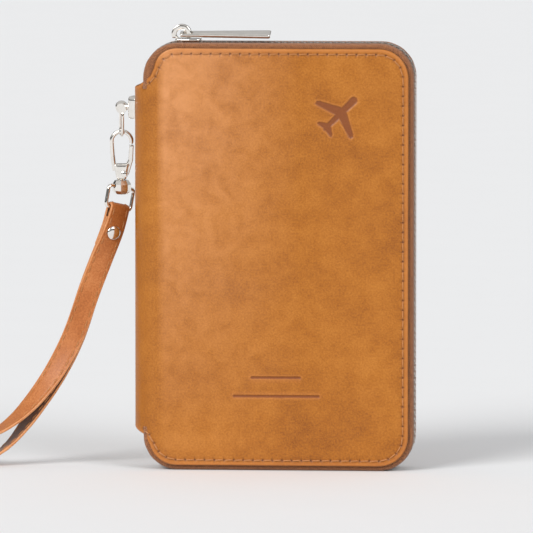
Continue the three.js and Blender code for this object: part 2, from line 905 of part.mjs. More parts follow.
const boardingTop = height - boardingDrop;
const cashTop = height - cashDrop;
const passportTop = pocketLow + passportTall;
organizer.add(
  piece("boarding_pass_pocket", pocketPanel(1, 0, boardingTop), "lining"),
  piece("passport_pocket", pocketPanel(1, 1, passportTop), "leather"),
  piece("cash_pocket", pocketPanel(-1, 0, cashTop), "lining"),
  piece("pen_loop", penLoop(), "leather"),
  piece("spine_leather", spineLeather(), "leather"),
  piece("spine_lining", spineLining(), "lining"),
);
for (let slot = 0; slot < cardSlots; slot++) {
  const top = height - firstCardDrop - slot * cardStep;
  organizer.add(piece(`card_slot_${slot + 1}`, pocketPanel(-1, slot + 1, top), "leather"));
}

organizer.add(
  piece("slider_body", sliderBody(), "metal"),
  piece("slider_bail", sliderBail(), "metal"),
  piece("pull_tab", pullTab(), "metal"),
  piece("anchor_cap", anchorCap(), "metal"),
  piece("anchor_screw", anchorScrew(), "metal"),
  piece("ball_stud", ballStud(), "metal"),
  piece("link_ring", linkRing(), "metal"),
  piece("hook_body", hookBody(), "metal"),
  piece("hook_gate", hookGate(), "metal"),
  piece("gate_pin", gatePin(), "metal"),
  piece("swivel_barrel", swivelBarrel(), "metal"),
  piece("strap_loop", strapLoop(), "metal"),
  piece("wrist_strap", wristStrap(), "leather"),
  piece("strap_rivet", strapRivet(), "metal"),
  piece("strap_rivet_back", strapRivetBack(), "metal"),
);

export default organizer;
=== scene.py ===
"""Looks of a zip-around leather travel document organizer with a wrist strap.

Lengths are millimetres in the row frame until Build.object() turns them into metres.
"""

import math

import bpy
import numpy as np
from mathutils import Matrix, Vector
from mathutils.geometry import delaunay_2d_cdt


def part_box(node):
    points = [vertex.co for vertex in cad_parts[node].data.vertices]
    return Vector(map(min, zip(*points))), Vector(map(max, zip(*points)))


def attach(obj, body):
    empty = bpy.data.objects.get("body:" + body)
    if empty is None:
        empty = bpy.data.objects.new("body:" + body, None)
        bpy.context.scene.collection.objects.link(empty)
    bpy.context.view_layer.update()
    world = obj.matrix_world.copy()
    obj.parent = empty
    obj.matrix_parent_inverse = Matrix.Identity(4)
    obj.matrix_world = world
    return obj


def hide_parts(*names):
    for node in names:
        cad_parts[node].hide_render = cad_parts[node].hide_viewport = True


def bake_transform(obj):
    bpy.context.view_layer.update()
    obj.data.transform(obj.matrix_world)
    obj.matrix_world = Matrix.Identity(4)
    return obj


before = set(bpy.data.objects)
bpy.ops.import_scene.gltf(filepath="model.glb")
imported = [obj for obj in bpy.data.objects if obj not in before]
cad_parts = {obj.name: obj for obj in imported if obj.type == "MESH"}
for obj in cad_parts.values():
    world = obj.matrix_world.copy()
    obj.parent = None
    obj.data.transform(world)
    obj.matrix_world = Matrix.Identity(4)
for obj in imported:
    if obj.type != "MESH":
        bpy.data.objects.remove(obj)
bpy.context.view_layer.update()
scene = bpy.context.scene
MM = 0.001


def low(node):
    return np.array(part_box(node)[0]) / MM


def high(node):
    return np.array(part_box(node)[1]) / MM


# ---- Sizes shared with the CAD model ----

HALF = -low("front_leather")[1] / 2
MID_Y = -HALF
LEFT = low("spine_leather")[0]
RIGHT = high("front_zip_tape")[0]
BASE = low("front_zip_tape")[2]
TOP = high("front_zip_tape")[2]
SPINE_X = LEFT + HALF
QUARTER = HALF * math.pi / 2
COVER_RIGHT = high("front_leather")[0]
COVER_LOW = low("front_leather")[2]
COVER_HIGH = high("front_leather")[2]
SPINE_LOW = low("spine_leather")[2]
SPINE_HIGH = high("spine_leather")[2]
LEATHER = 1.4
WALL_LEFT = low("front_zip_teeth")[0]
WALL_CORNER = 15.5
ZIP_ENDS = (SPINE_LOW + 4, SPINE_HIGH - 4)
STITCH_INSET = 2.5
STITCH_PITCH = 4.35
SIDES = {"front": -1, "back": 1}


# ---- Meshes ----


class Build:
    """Gathers points, faces and what each point carries, and makes one object of them."""

    def __init__(self):
        self.points, self.faces, self.uv, self.slots, self.marks = [], [], [], [], []
        self.count = 0

    def add(self, points, faces, uv=None, slot=0, marks=None):
        points = np.asarray(points, float)
        n = len(points)
        self.points.append(points)
        self.uv.append(np.zeros((n, 2)) if uv is None else np.asarray(uv, float))
        self.marks.append(np.zeros((n, 3)) if marks is None else np.asarray(marks, float))
        for face in faces:
            self.faces.append([int(i) + self.count for i in face])
        self.slots += [slot] * len(faces)
        self.count += n

    def object(self, name, materials, angle=38):
        mesh = bpy.data.meshes.new(name)
        points = np.concatenate(self.points) * MM
        mesh.from_pydata(points.tolist(), [], self.faces)
        for material in materials:
            mesh.materials.append(material)
        mesh.polygons.foreach_set("material_index", self.slots)
        corners = np.zeros(len(mesh.loops), int)
        mesh.loops.foreach_get("vertex_index", corners)
        layer = mesh.uv_layers.new(name="flat")
        layer.data.foreach_set("uv", np.concatenate(self.uv)[corners].ravel())
        marks = mesh.attributes.new("marks", "FLOAT_VECTOR", "POINT")
        marks.data.foreach_set("vector", np.concatenate(self.marks).ravel())
        mesh.shade_smooth()
        mesh.set_sharp_from_angle(angle=math.radians(angle))
        mesh.update()
        made = bpy.data.objects.new(name, mesh)
        scene.collection.objects.link(made)
        return made


def settle(piece, body, slot, *nodes):
    """Hangs a finished piece on its body's empty and hides the CAD nodes it stands for; slot, its finish, is
    not used.
    """
    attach(piece, body)
    if nodes:
        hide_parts(*nodes)
    return piece


def arc(cx, cy, radius, start, end, steps=12):
    """Points round an arc, angles in degrees."""
    angles = np.radians(np.linspace(start, end, steps + 1))
    return np.stack([cx + radius * np.cos(angles), cy + radius * np.sin(angles)], 1)


def rounded_box(x0, x1, y0, y1, radius, steps=6):
    corners = [(x1, y1, 0), (x0, y1, 90), (x0, y0, 180), (x1, y0, 270)]
    return np.concatenate([
        arc(
            x + radius * (1 if x == x0 else -1),
            y + radius * (1 if y == y0 else -1),
            radius, turn, turn + 90, steps,
        )
        for x, y, turn in corners
    ])


def resample(line, step, closed=False):
    """The same line with points about one step apart."""
    line = np.asarray(line, float)
    if closed:
        line = np.concatenate([line, line[:1]])
    spans = np.linalg.norm(np.diff(line, axis=0), axis=1)
    line = np.concatenate([line[:1], line[1:][spans > 1e-6]])
    spans = spans[spans > 1e-6]
    at = np.concatenate([[0], np.cumsum(spans)])
    count = max(int(round(at[-1] / step)), 2)
    stops = np.linspace(0, at[-1], count + 1)
    even = np.stack([np.interp(stops, at, line[:, k]) for k in range(line.shape[1])], 1)
    return even[:-1] if closed else even


def side_of(line, closed):
    """Unit vectors to the left of a line at each of its points."""
    line = np.asarray(line, float)
    if closed:
        ahead, behind = np.roll(line, -1, 0), np.roll(line, 1, 0)
    else:
        ahead = np.concatenate([line[1:], line[-1:]])
        behind = np.concatenate([line[:1], line[:-1]])
    along = ahead - behind
    along /= np.linalg.norm(along, axis=1)[:, None] + 1e-12
    return np.stack([-along[:, 1], along[:, 0]], 1)


def distance_to(points, line, closed):
    """Distance from each point to a line in the same plane."""
    line = np.asarray(line, float)
    ends = np.roll(line, -1, 0) if closed else line[1:]
    starts = line if closed else line[:-1]
    best = np.full(len(points), 1e9)
    for a, b in zip(starts, ends):
        d = b - a
        t = np.clip(((points - a) @ d) / (d @ d + 1e-12), 0, 1)
        gap = points - a - t[:, None] * d
        best = np.minimum(best, np.einsum("ij,ij->i", gap, gap))
    return np.sqrt(best)


def within(points, loop):
    """Which points lie inside a closed loop."""
    x, y = points[:, 0], points[:, 1]
    odd = np.zeros(len(points), bool)
    for (ax, ay), (bx, by) in zip(loop, np.roll(loop, -1, 0)):
        if ay == by:
            continue
        crosses = (ay > y) != (by > y)
        odd ^= crosses & (x < (bx - ax) * (y - ay) / (by - ay) + ax)
    return odd


def hex_grid(lo, hi, spacing):
    """Evenly spread points over a box."""
    rows = np.arange(lo[1], hi[1], spacing * 0.87)
    grid = []
    for i, y in enumerate(rows):
        xs = np.arange(lo[0] + (i % 2) * spacing / 2, hi[0], spacing)
        grid.append(np.stack([xs, np.full(len(xs), y)], 1))
    return np.concatenate(grid)


def triangulate(outer, holes, lines, spacing, dense=()):
    """Fills an outline: points, triangles, and each input loop's place among the points.

    lines are further (points, closed) lines that the mesh follows, and dense holds boxes
    (x0, y0, x1, y1, spacing) that are filled more finely.
    """
    loops = [(outer, True)] + [(hole, True) for hole in holes] + list(lines)
    points, edges, places = [], [], []
    for line, closed in loops:
        first = len(points)
        points += [tuple(p) for p in line]
        places.append(range(first, len(points)))
        edges += [(i, i + 1) for i in range(first, len(points) - 1)]
        if closed:
            edges.append((len(points) - 1, first))
    grid = hex_grid(np.min(outer, 0), np.max(outer, 0), spacing)
    for x0, y0, x1, y1, fine in dense:
        clear = np.any((grid < (x0, y0)) | (grid > (x1, y1)), 1)
        grid = np.concatenate([grid[clear], hex_grid((x0, y0), (x1, y1), fine)])
    keep = within(grid, np.asarray(outer))
    for hole in holes:
        keep &= ~within(grid, np.asarray(hole))
    grid = grid[keep]
    for line, closed in loops:
        grid = grid[distance_to(grid, line, closed) > spacing * 0.55]
    points += [tuple(p) for p in grid]
    found = delaunay_2d_cdt([Vector(p) for p in points], edges, [], 0, 1e-5)
    flat = np.array([tuple(v) for v in found[0]])
    triangles = np.array([f for f in found[2] if len(f) == 3])
    middles = flat[triangles].mean(1)
    keep = within(middles, np.asarray(outer))
    for hole in holes:
        keep &= ~within(middles, np.asarray(hole))
    place_of = {}
    for j, sources in enumerate(found[3]):
        for i in sources:
            place_of[i] = j
    rings = [[place_of[i] for i in span] for span in places[: 1 + len(holes)]]
    a, b, c = (flat[triangles[:, k]] for k in range(3))
    turn = (b[:, 0] - a[:, 0]) * (c[:, 1] - a[:, 1]) - (b[:, 1] - a[:, 1]) * (c[:, 0] - a[:, 0])
    triangles[turn < 0] = triangles[turn < 0][:, ::-1]
    return flat, triangles[keep & (np.abs(turn) > 1e-9)], rings


def rounded_edge(distance, radius):
    """How far a surface drops near its edge where that is rounded over."""
    run = np.clip(radius - distance, 0, radius)
    return np.sqrt(radius**2 - run**2) - radius


def plate(build, outer, holes, thick, radius, put, spacing=2.0, step=0.5, slot=0):
    """A flat plate with rounded edges; put(points, height) places it, height from its middle."""
    outer = resample(outer, step, True)
    holes = [resample(hole, step, True) for hole in holes]
    lines = []
    for share in (0.12, 0.35, 0.65, 1.0):
        inner = outer + side_of(outer, True) * radius * share
        lines.append((resample(inner, step, True), True))
        for hole in holes:
            lines.append((hole - side_of(hole, True) * radius * share, True))
    flat, triangles, rings = triangulate(outer, holes, lines, spacing)
    distance = distance_to(flat, outer, True)
    for hole in holes:
        distance = np.minimum(distance, distance_to(flat, hole, True))
    height = thick / 2 + rounded_edge(distance, radius)
    n = len(flat)
    points = np.concatenate([put(flat, height), put(flat, -height)])
    faces = [list(t) for t in triangles] + [list(t[::-1] + n) for t in triangles]
    for k, ring in enumerate(rings):
        for i, j in zip(ring, ring[1:] + ring[:1]):
            wall = [i, i + n, j + n, j]
            faces.append(wall if k == 0 else wall[::-1])
    build.add(points, faces, np.concatenate([flat, flat]), slot)


def facing(origin, across, up, out):
    """Places flat points on a plane: across and up run in it, and out is its front."""
    origin, across, up, out = (np.asarray(v, float) for v in (origin, across, up, out))

    def put(flat, height):
        return (
            origin + flat[:, :1] * across + flat[:, 1:2] * up + np.asarray(height)[:, None] * out
        )

    return put


def tube(build, path, radius, sides=16, closed=False, start=(0, 0, 1), slot=0):
    """A round bar along a path. radius is one number or one for each point."""
    path = np.asarray(path, float)
    n = len(path)
    radii = np.broadcast_to(radius, n)
    ahead = np.roll(path, -1, 0) if closed else np.concatenate([path[1:], path[-1:]])
    behind = np.roll(path, 1, 0) if closed else np.concatenate([path[:1], path[:-1]])
    along = ahead - behind
    along /= np.linalg.norm(along, axis=1)[:, None]
    normal = np.asarray(start, float)
    angles = np.linspace(0, 2 * np.pi, sides, endpoint=False)
    points, uv = [], []
    length = 0.0
    for i in range(n):
        normal = normal - along[i] * (normal @ along[i])
        normal /= np.linalg.norm(normal)
        other = np.cross(along[i], normal)
        ring = np.cos(angles)[:, None] * normal + np.sin(angles)[:, None] * other
        points.append(path[i] + ring * radii[i])
        length += np.linalg.norm(path[i] - path[i - 1]) if i else 0.0
        uv.append(np.stack([np.full(sides, length), angles * radii[i]], 1))
    faces = []
    for i in range(n if closed else n - 1):
        a, b = i * sides, ((i + 1) % n) * sides
        for k in range(sides):
            m = (k + 1) % sides
            faces.append([a + k, a + m, b + m, b + k])
    if not closed:
        faces.append(list(range(sides))[::-1])
        faces.append(list(range((n - 1) * sides, n * sides)))
    build.add(np.concatenate(points), faces, np.concatenate(uv), slot)


def turned(build, profile, origin, axis, segments=48, slot=0):
    """A closed body turned round an axis. profile rows are (radius, distance along the axis)."""
    axis = np.array(Vector(axis).normalized())
    side = np.array(Vector(axis).orthogonal().normalized())
    other = np.cross(axis, side)
    angles = np.linspace(0, 2 * np.pi, segments, endpoint=False)
    round_about = np.cos(angles)[:, None] * side + np.sin(angles)[:, None] * other
    points, faces, uv = [], [], []
    rows = []
    for radius, along in profile:
        first = len(points)
        centre = np.asarray(origin) + axis * along
        if radius < 1e-6:
            points.append(centre)
            uv.append((0, along))
            rows.append([first] * segments)
        else:
            points += list(centre + round_about * radius)
            uv += [(a * radius, along) for a in angles]
            rows.append(list(range(first, first + segments)))
    for a, b in zip(rows, rows[1:]):
        for k in range(segments):
            m = (k + 1) % segments
            face = [a[k], a[m], b[m], b[k]]
            face = [v for i, v in enumerate(face) if v != face[i - 1]]
            if len(face) > 2:
                faces.append(face)
    build.add(points, faces, uv, slot)


def carved(piece, *cutters):
    """Cuts pieces out of a piece, and removes the cutters."""
    for cutter in cutters:
        cut = piece.modifiers.new("cut", "BOOLEAN")
        cut.operation = "DIFFERENCE"
        cut.solver = "EXACT"
        cut.object = cutter
    made = bpy.data.meshes.new_from_object(piece.evaluated_get(bpy.context.evaluated_depsgraph_get()))
    piece.modifiers.clear()
    piece.data = made
    made.shade_smooth()
    made.set_sharp_from_angle(angle=math.radians(35))
    for cutter in cutters:
        bpy.data.objects.remove(cutter)
    return piece


def cutter(shape):
    """A throwaway object for carved()."""
    build = Build()
    shape(build)
    return build.object("cutter", [])


# ---- Materials ----


class Finish:
    """A material's node tree, built up from its Principled shader."""

    def __init__(self, name, roughness=0.5, metallic=0.0, **sockets):
        self.material = bpy.data.materials.new(name)
        self.material.use_nodes = True
        self.tree = self.material.node_tree
        self.shader = self.tree.nodes["Principled BSDF"]
        self.shader.inputs["Roughness"].default_value = roughness
        self.shader.inputs["Metallic"].default_value = metallic
        for key, value in sockets.items():
            self.shader.inputs[key.replace("_", " ")].default_value = value

    def node(self, kind, inputs=None, **settings):
        made = self.tree.nodes.new("ShaderNode" + kind)
        for key, value in settings.items():
            setattr(made, key, value)
        for key, value in (inputs or {}).items():
            if isinstance(value, bpy.types.NodeSocket):
                self.tree.links.new(value, made.inputs[key])
            else:
                made.inputs[key].default_value = value
        return made

    def flat(self, scale=(1, 1, 1), turn=0.0):
        """The piece's own flat coordinates in millimetres."""
        uv = self.node("UVMap", uv_map="flat").outputs[0]
        settings = {"Vector": uv, "Scale": scale, "Rotation": (0, 0, turn)}
        return self.node("Mapping", settings).outputs[0]

    def solid(self, scale):
        """Places on a piece that keeps its shape, in millimetres times scale."""
        place = self.node("TexCoord").outputs["Object"]
        size = scale / MM
        return self.node("Mapping", {"Vector": place, "Scale": (size, size, size)}).outputs[0]

    def noise(self, vector, scale=1.0, detail=3.0, roughness=0.5, distortion=0.0):
        values = {
            "Vector": vector, "Scale": scale, "Detail": detail,
            "Roughness": roughness, "Distortion": distortion,
        }
        return self.node("TexNoise", values).outputs[0]

    def math(self, operation, *values):
        return self.node("Math", dict(enumerate(values)), operation=operation).outputs[0]

    def span(self, value, low_in, high_in, low_out=0.0, high_out=1.0):
        values = dict(enumerate([value, low_in, high_in, low_out, high_out]))
        return self.node("MapRange", values).outputs[0]

    def mix(self, share, first, second, blend="MIX"):
        made = self.node("Mix", data_type="RGBA", blend_type=blend)
        for key, value in ((0, share), (6, first), (7, second)):
            if isinstance(value, bpy.types.NodeSocket):
                self.tree.links.new(value, made.inputs[key])
            else:
                made.inputs[key].default_value = value
        return made.outputs[2]

    def mark(self, index):
        """One of the three numbers that Build keeps at each point."""
        vector = self.node("Attribute", attribute_name="marks").outputs["Vector"]
        return self.node("SeparateXYZ", {0: vector}).outputs[index]

    def finish(self, colour, roughness=None, height=None, strength=0.3, reach=0.1):
        links = self.tree.links
        if isinstance(colour, bpy.types.NodeSocket):
            links.new(colour, self.shader.inputs["Base Color"])
        else:
            self.shader.inputs["Base Color"].default_value = colour
        if roughness is not None:
            links.new(roughness, self.shader.inputs["Roughness"])
        if height is not None:
            values = {"Height": height, "Strength": strength, "Distance": reach * MM}
            bump = self.node("Bump", values)
            links.new(bump.outputs[0], self.shader.inputs["Normal"])
        return self.material


def srgb(r, g, b):
    """A colour given as 0 to 255 in sRGB, as Blender's linear one."""
    parts = [c / 255 for c in (r, g, b)]
    return tuple(c / 12.92 if c < 0.04045 else ((c + 0.055) / 1.055) ** 2.4 for c in parts) + (1,)


def leather(name, deep, middle, pale, roughness=0.46, cover=False):
    """Pull-up leather: cloudy colour and fine pores. The cover also gets a painted sheen on its flat part near
    the spine, painted shade on the spine's curve, and marks for edges, presses and holes: a lighter edge
    (partly wear, partly painted highlight), darker pressed leather and painted shade in the stitch holes.
    """
    f = Finish(name, roughness, Coat_Weight=0.1, Coat_Roughness=0.32)
    f.shader.inputs["Specular IOR Level"].default_value = 0.42
    place = f.flat()
    clouds = f.noise(place, 0.03, 3, 0.5, 0.5)
    mottle = f.noise(place, 0.14, 4, 0.6, 0.4)
    specks = f.noise(place, 1.15, 4, 0.7)
    pores = f.node("TexVoronoi", {"Vector": place, "Scale": 1.7, "Randomness": 1.0}).outputs[0]
    tone = f.math("ADD", f.math("MULTIPLY", clouds, 0.4), f.math("MULTIPLY", mottle, 0.35))
    tone = f.math("ADD", tone, f.math("MULTIPLY", f.math("SUBTRACT", specks, 0.34), 0.8))
    dark_half = f.mix(f.span(tone, 0.28, 0.5), deep, middle)
    colour = f.mix(f.span(tone, 0.5, 0.78), dark_half, pale)
    grain = f.math("ADD", f.math("MULTIPLY", specks, 0.6), f.math("MULTIPLY", pores, 0.5))
    rough = f.span(mottle, 0.3, 0.7, roughness - 0.06, roughness + 0.08)
    if cover:
        x, z = (f.node("SeparateXYZ", {0: place}).outputs[k] for k in (0, 1))
        # Painted sheen: a pinkish highlight on the flat cover next to the spine. It is strongest high up,
        # fades away from the spine and is broken up by the mottle.
        from_spine = f.math("ABSOLUTE", f.math("SUBTRACT", x, UV_PLACE[0]))
        on_flat = f.span(from_spine, QUARTER - 2.5, QUARTER + 1.5)
        near_spine = f.span(from_spine, QUARTER + 62, QUARTER)
        high_up = f.span(z, UV_PLACE[1] - 75, UV_PLACE[1] + 80, 0.12, 1.0)
        sheen_area = f.math("MULTIPLY", f.math("MULTIPLY", near_spine, high_up), on_flat)
        patchy_sheen = f.math("MULTIPLY", sheen_area, f.span(mottle, 0.3, 0.65, 0.55, 1.0))
        colour = f.mix(f.math("MULTIPLY", patchy_sheen, 0.85), colour, PINK_SHEEN)
        # Painted shade: the spine's curve is made darker and more golden than the flat cover beside it.
        colour = f.mix(f.span(from_spine, QUARTER - 2, QUARTER - 9, 0, 0.3), colour, FOLD_SHADE)
        edge, pressed, hole = (f.mark(k) for k in range(3))
        # The rolled edge and the rim round the pressed marks are made lighter. On the edge this is partly rub
        # wear and partly a painted highlight; on the rim it is a painted highlight.
        colour = f.mix(edge, colour, EDGE_WEAR_AND_HIGHLIGHT)
        colour = f.mix(pressed, colour, PRESSED)
        # Painted shade darkens the stitch holes.
        colour = f.mix(hole, colour, HOLE_SHADE)
    return f.finish(colour, rough, grain, 0.4, 0.15)


def suede(name, colour):
    f = Finish(name, 0.85, Sheen_Weight=0.3)
    nap = f.noise(f.flat(), 1.6, 5, 0.7)
    dark = tuple(c * 0.62 for c in colour[:3]) + (1,)
    return f.finish(f.mix(f.span(nap, 0.3, 0.7), dark, colour), None, nap, 0.5, 0.2)


def thread_finish():
    """Twisted polyester thread."""
    f = Finish("stitch_thread", 0.55, Sheen_Weight=0.25)
    twist = f.node(
        "TexWave", {"Vector": f.flat(turn=0.7), "Scale": 1.1, "Distortion": 0.4}
    ).outputs[0]
    colour = f.mix(twist, srgb(160, 92, 36), srgb(206, 142, 78))
    return f.finish(colour, None, twist, 0.6, 0.08)


def tape_finish():
    """Herringbone tape: slanting ribs that turn back every 2.1 mm across the tape."""
    f = Finish("herringbone_tape", 0.78, Sheen_Weight=0.2)
    x, y = (f.node("SeparateXYZ", {0: f.flat()}).outputs[k] for k in (0, 1))
    zigzag = f.math("PINGPONG", y, 1.05)
    ribs = f.math("SINE", f.math("MULTIPLY", f.math("ADD", x, zigzag), 2 * math.pi / 0.95))
    weft = f.math("SINE", f.math("MULTIPLY", y, 2 * math.pi / 0.52))
    height = f.math("ADD", f.math("MULTIPLY", ribs, 0.5), f.math("MULTIPLY", weft, 0.22))
    uneven = f.noise(f.flat(), 0.9, 3, 0.6)
    share = f.math("ADD", f.span(height, -0.6, 0.6, 0.12, 0.88), f.span(uneven, 0.3, 0.7, -0.25, 0.25))
    colour = f.mix(share, srgb(78, 36, 14), srgb(184, 120, 72))
    return f.finish(colour, None, height, 0.8, 0.22)


def nickel(name, colour, roughness, scratch):
    """Plated metal with faint handling marks."""
    f = Finish(name, roughness, 1.0)
    fine = f.noise(f.solid(0.9), 1.0, 4, 0.65)
    broad = f.noise(f.solid(0.18), 1.0, 2, 0.5)
    worn = tuple(c * 0.8 for c in colour[:3]) + (1,)
    rough = f.span(fine, 0.3, 0.7, roughness * 0.7, roughness * 1.5)
    return f.finish(f.mix(f.span(broad, 0.4, 0.75, 0, 0.5), colour, worn), rough, fine, scratch, 0.03)


def woven(name, dark, pale, pitch=0.55):
    """Plain-weave lining cloth."""
    f = Finish(name, 0.82, Sheen_Weight=0.35)
    x, y = (f.node("SeparateXYZ", {0: f.flat()}).outputs[k] for k in (0, 1))
    warp = f.math("SINE", f.math("MULTIPLY", x, 2 * math.pi / pitch))
    weft = f.math("SINE", f.math("MULTIPLY", y, 2 * math.pi / pitch))
    height = f.math("MULTIPLY", warp, weft)
    slub = f.noise(f.flat((0.3, 2.2, 1)), 0.6, 3, 0.6)
    share = f.math("ADD", f.span(height, -1, 1, 0.2, 0.7), f.span(slub, 0.3, 0.7, -0.2, 0.2))
    return f.finish(f.mix(share, dark, pale), None, height, 0.5, 0.12)


def board_finish():
    """Grey stiffening board with its fibres."""
    f = Finish("grey_board", 0.9)
    fibre = f.noise(f.solid(0.5), 1.0, 6, 0.75, 0.6)
    return f.finish(f.mix(fibre, srgb(120, 112, 104), srgb(176, 168, 158)), None, fibre, 0.3, 0.1)


# Where the leather's flat coordinates have the middle of the spine.
UV_PLACE = (200.0, 300.0)
# Painted sheen: the pinkish colour of the light's highlight on the flat cover.
PINK_SHEEN = srgb(214, 148, 96)
# Painted shade: the darker, more golden colour of the spine's curve, which gets no sheen.
FOLD_SHADE = srgb(172, 102, 18)
# A lighter rolled edge: partly rub wear, partly painted highlight.
EDGE_WEAR_AND_HIGHLIGHT = srgb(196, 122, 60)
PRESSED = srgb(122, 62, 26)
# Painted shade in the stitch holes.
HOLE_SHADE = srgb(70, 26, 10)
COVER = leather("cover_leather", srgb(132, 71, 4), srgb(165, 97, 12), srgb(190, 121, 38), cover=True)
STRAP = leather("strap_leather", srgb(146, 78, 28), srgb(176, 102, 46), srgb(204, 134, 78))
STRAP_EDGE = leather("strap_edge", srgb(176, 104, 54), srgb(204, 136, 84), srgb(228, 170, 120))
POCKET = leather("pocket_leather", srgb(140, 80, 36), srgb(172, 104, 52), srgb(196, 128, 74))
FLESH = suede("leather_back", srgb(128, 78, 46))
THREAD = thread_finish()
TAPE = tape_finish()
TEETH = nickel("zip_teeth_metal", srgb(208, 204, 198), 0.24, 0.2)
NICKEL = nickel("polished_nickel", srgb(246, 241, 234), 0.1, 0.06)
LINING = woven("lining_cloth", srgb(104, 72, 50), srgb(150, 112, 82))
BOARD = board_finish()


# ---- Camera, light and floor ----

CAMERA_AZIMUTH = math.radians(4.2)
CAMERA_HEIGHT = math.radians(4.9)
CAMERA_DISTANCE = 4000.0
VIEW_WIDE = 239.5
AIM_RIGHT, AIM_UP = -3.8, -5.0


def make_camera():
    a, e = CAMERA_AZIMUTH, CAMERA_HEIGHT
    back = np.array([math.sin(a) * math.cos(e), -math.cos(a) * math.cos(e), math.sin(e)])
    across = np.array([math.cos(a), math.sin(a), 0])
    up = np.cross(back, across)
    aim = np.array([0, MID_Y, 0]) + AIM_RIGHT * across + AIM_UP * up
    data = bpy.data.cameras.new("camera")
    data.sensor_width = 36
    data.lens = 36 * CAMERA_DISTANCE / VIEW_WIDE
    data.clip_end = 40
    camera = bpy.data.objects.new("camera", data)
    axes = Matrix((across, up, back)).transposed().to_4x4()
    camera.matrix_world = Matrix.Translation(Vector((aim + back * CAMERA_DISTANCE) * MM)) @ axes
    scene.collection.objects.link(camera)
    scene.camera = camera


def broad_sun(name, azimuth, elevation, strength, colour=(1, 1, 1)):
    """Soft light of the same strength everywhere, from azimuth right of the front."""
    data = bpy.data.lights.new(name, "SUN")
    data.angle = math.radians(30)
    data.energy = strength
    data.color = colour
    light = bpy.data.objects.new(name, data)
    a, e = math.radians(azimuth), math.radians(elevation)
    source = Vector((math.sin(a) * math.cos(e), -math.cos(a) * math.cos(e), math.sin(e)))
    light.rotation_euler = source.to_track_quat("Z", "Y").to_euler()
    light.location = source * 2
    scene.collection.objects.link(light)


def make_light():
    world = bpy.data.worlds.new("studio")
    world.use_nodes = True
    scene.world = world
    tree = world.node_tree
    ground = tree.nodes["Background"]
    place = tree.nodes.new("ShaderNodeTexCoord")
    parts = tree.nodes.new("ShaderNodeSeparateXYZ")
    ramp = tree.nodes.new("ShaderNodeValToRGB")
    tree.links.new(place.outputs["Generated"], parts.inputs[0])
    tree.links.new(parts.outputs[2], ramp.inputs[0])
    stops = ramp.color_ramp.elements
    stops[0].position, stops[0].color = 0.0, (0.5, 0.5, 0.5, 1)
    stops[1].position, stops[1].color = 1.0, (1, 1, 1, 1)
    for at, grey in ((0.05, 0.75), (0.09, 0.05), (0.2, 0.07), (0.33, 0.8), (0.6, 1.0)):
        stop = stops.new(at)
        stop.color = (grey, grey, grey, 1)
    tree.links.new(ramp.outputs[0], ground.inputs[0])
    ground.inputs[1].default_value = 0.57
    broad_sun("key", -36, 33, 2.1, (1, 0.985, 0.965))
    broad_sun("fill", 44, 31, 1.15)


def make_floor():
    floor_z = min(BASE, low("wrist_strap")[2])
    rim = arc(0, 0, 30000, 0, 360, 48)[:-1]
    points = [(x, y, floor_z) for x, y in rim]
    build = Build()
    build.add(points, [list(range(len(points)))], rim)
    f = Finish("studio_floor", 0.85)
    paper = f.noise(f.flat(), 0.02, 3, 0.5)
    finish = f.finish(f.mix(paper, (0.79, 0.80, 0.815, 1), (0.805, 0.815, 0.83, 1)))
    build.object("floor", [finish])


# ---- Stitching ----


def stitch_stops(line, pitch, closed=False):
    """Hole places along a line, and the distance between them."""
    line = np.asarray(line, float)
    spans = np.linalg.norm(np.diff(line, axis=0), axis=1)
    at = np.concatenate([[0], np.cumsum(spans)])
    count = max(int(round(at[-1] / pitch)), 1)
    stops = np.linspace(0, at[-1], count + 1)
    return np.stack([np.interp(stops, at, line[:, k]) for k in (0, 1)], 1), at[-1] / count


def stitches(build, line, put, pitch=STITCH_PITCH, radius=0.33, slant=0.1, slot=1):
    """Threads along a line on a surface; each dives into the leather at both its ends."""
    holes, gap = stitch_stops(line, pitch)
    sections, sides = 8, 6
    share = np.linspace(0, 1, sections)
    for a, b in zip(holes, holes[1:]):
        along = (b - a) / np.linalg.norm(b - a)
        across = np.array([-along[1], along[0]])
        start = a + along * 0.3 - across * slant
        end = b - along * 0.3 + across * slant
        points, uv = [], []
        for t in share:
            fat = radius * (0.55 + 0.45 * math.sin(math.pi * t) ** 0.5)
            rise = -0.5 + 0.62 * math.sin(math.pi * t) ** 0.4
            middle = start + (end - start) * t
            turn = np.linspace(0, 2 * np.pi, sides, endpoint=False)
            flat = middle + np.sin(turn)[:, None] * across * fat
            points.append(put(flat, rise + np.cos(turn) * fat))
            uv.append(np.stack([np.full(sides, t * gap), turn * radius], 1))
        faces = [
            [i * sides + k, i * sides + (k + 1) % sides,
             (i + 1) * sides + (k + 1) % sides, (i + 1) * sides + k]
            for i in range(sections - 1) for k in range(sides)
        ]
        build.add(np.concatenate(points), faces, np.concatenate(uv) + a, slot)


# ---- Cover leather ----


def leather_outline():
    """The leather's edge seen from the front: (x, z), from the spine's foot round to its head."""
    corner = 13.3
    left_x = SPINE_X + 6.5
    return np.concatenate([
        [(LEFT, BASE + 18.4), (LEFT + 0.6, BASE + 17.6), (LEFT + 2.2, BASE + 16.7),
         (LEFT + 4.2, BASE + 15.9), (LEFT + 5.4, BASE + 14.4)],
        arc(left_x, BASE + 15.2, 13, 196, 270, 12),
        arc(COVER_RIGHT - corner, COVER_LOW + corner, corner, -90, 0),
        arc(COVER_RIGHT - corner, COVER_HIGH - corner, corner, 0, 90),
        arc(left_x, BASE + 179.6, 10.2, 90, 172),
        [(LEFT + 7.6, BASE + 177.2), (LEFT + 4.6, BASE + 174.9),
         (LEFT + 2, BASE + 172.9), (LEFT, BASE + 172.2)],
    ])


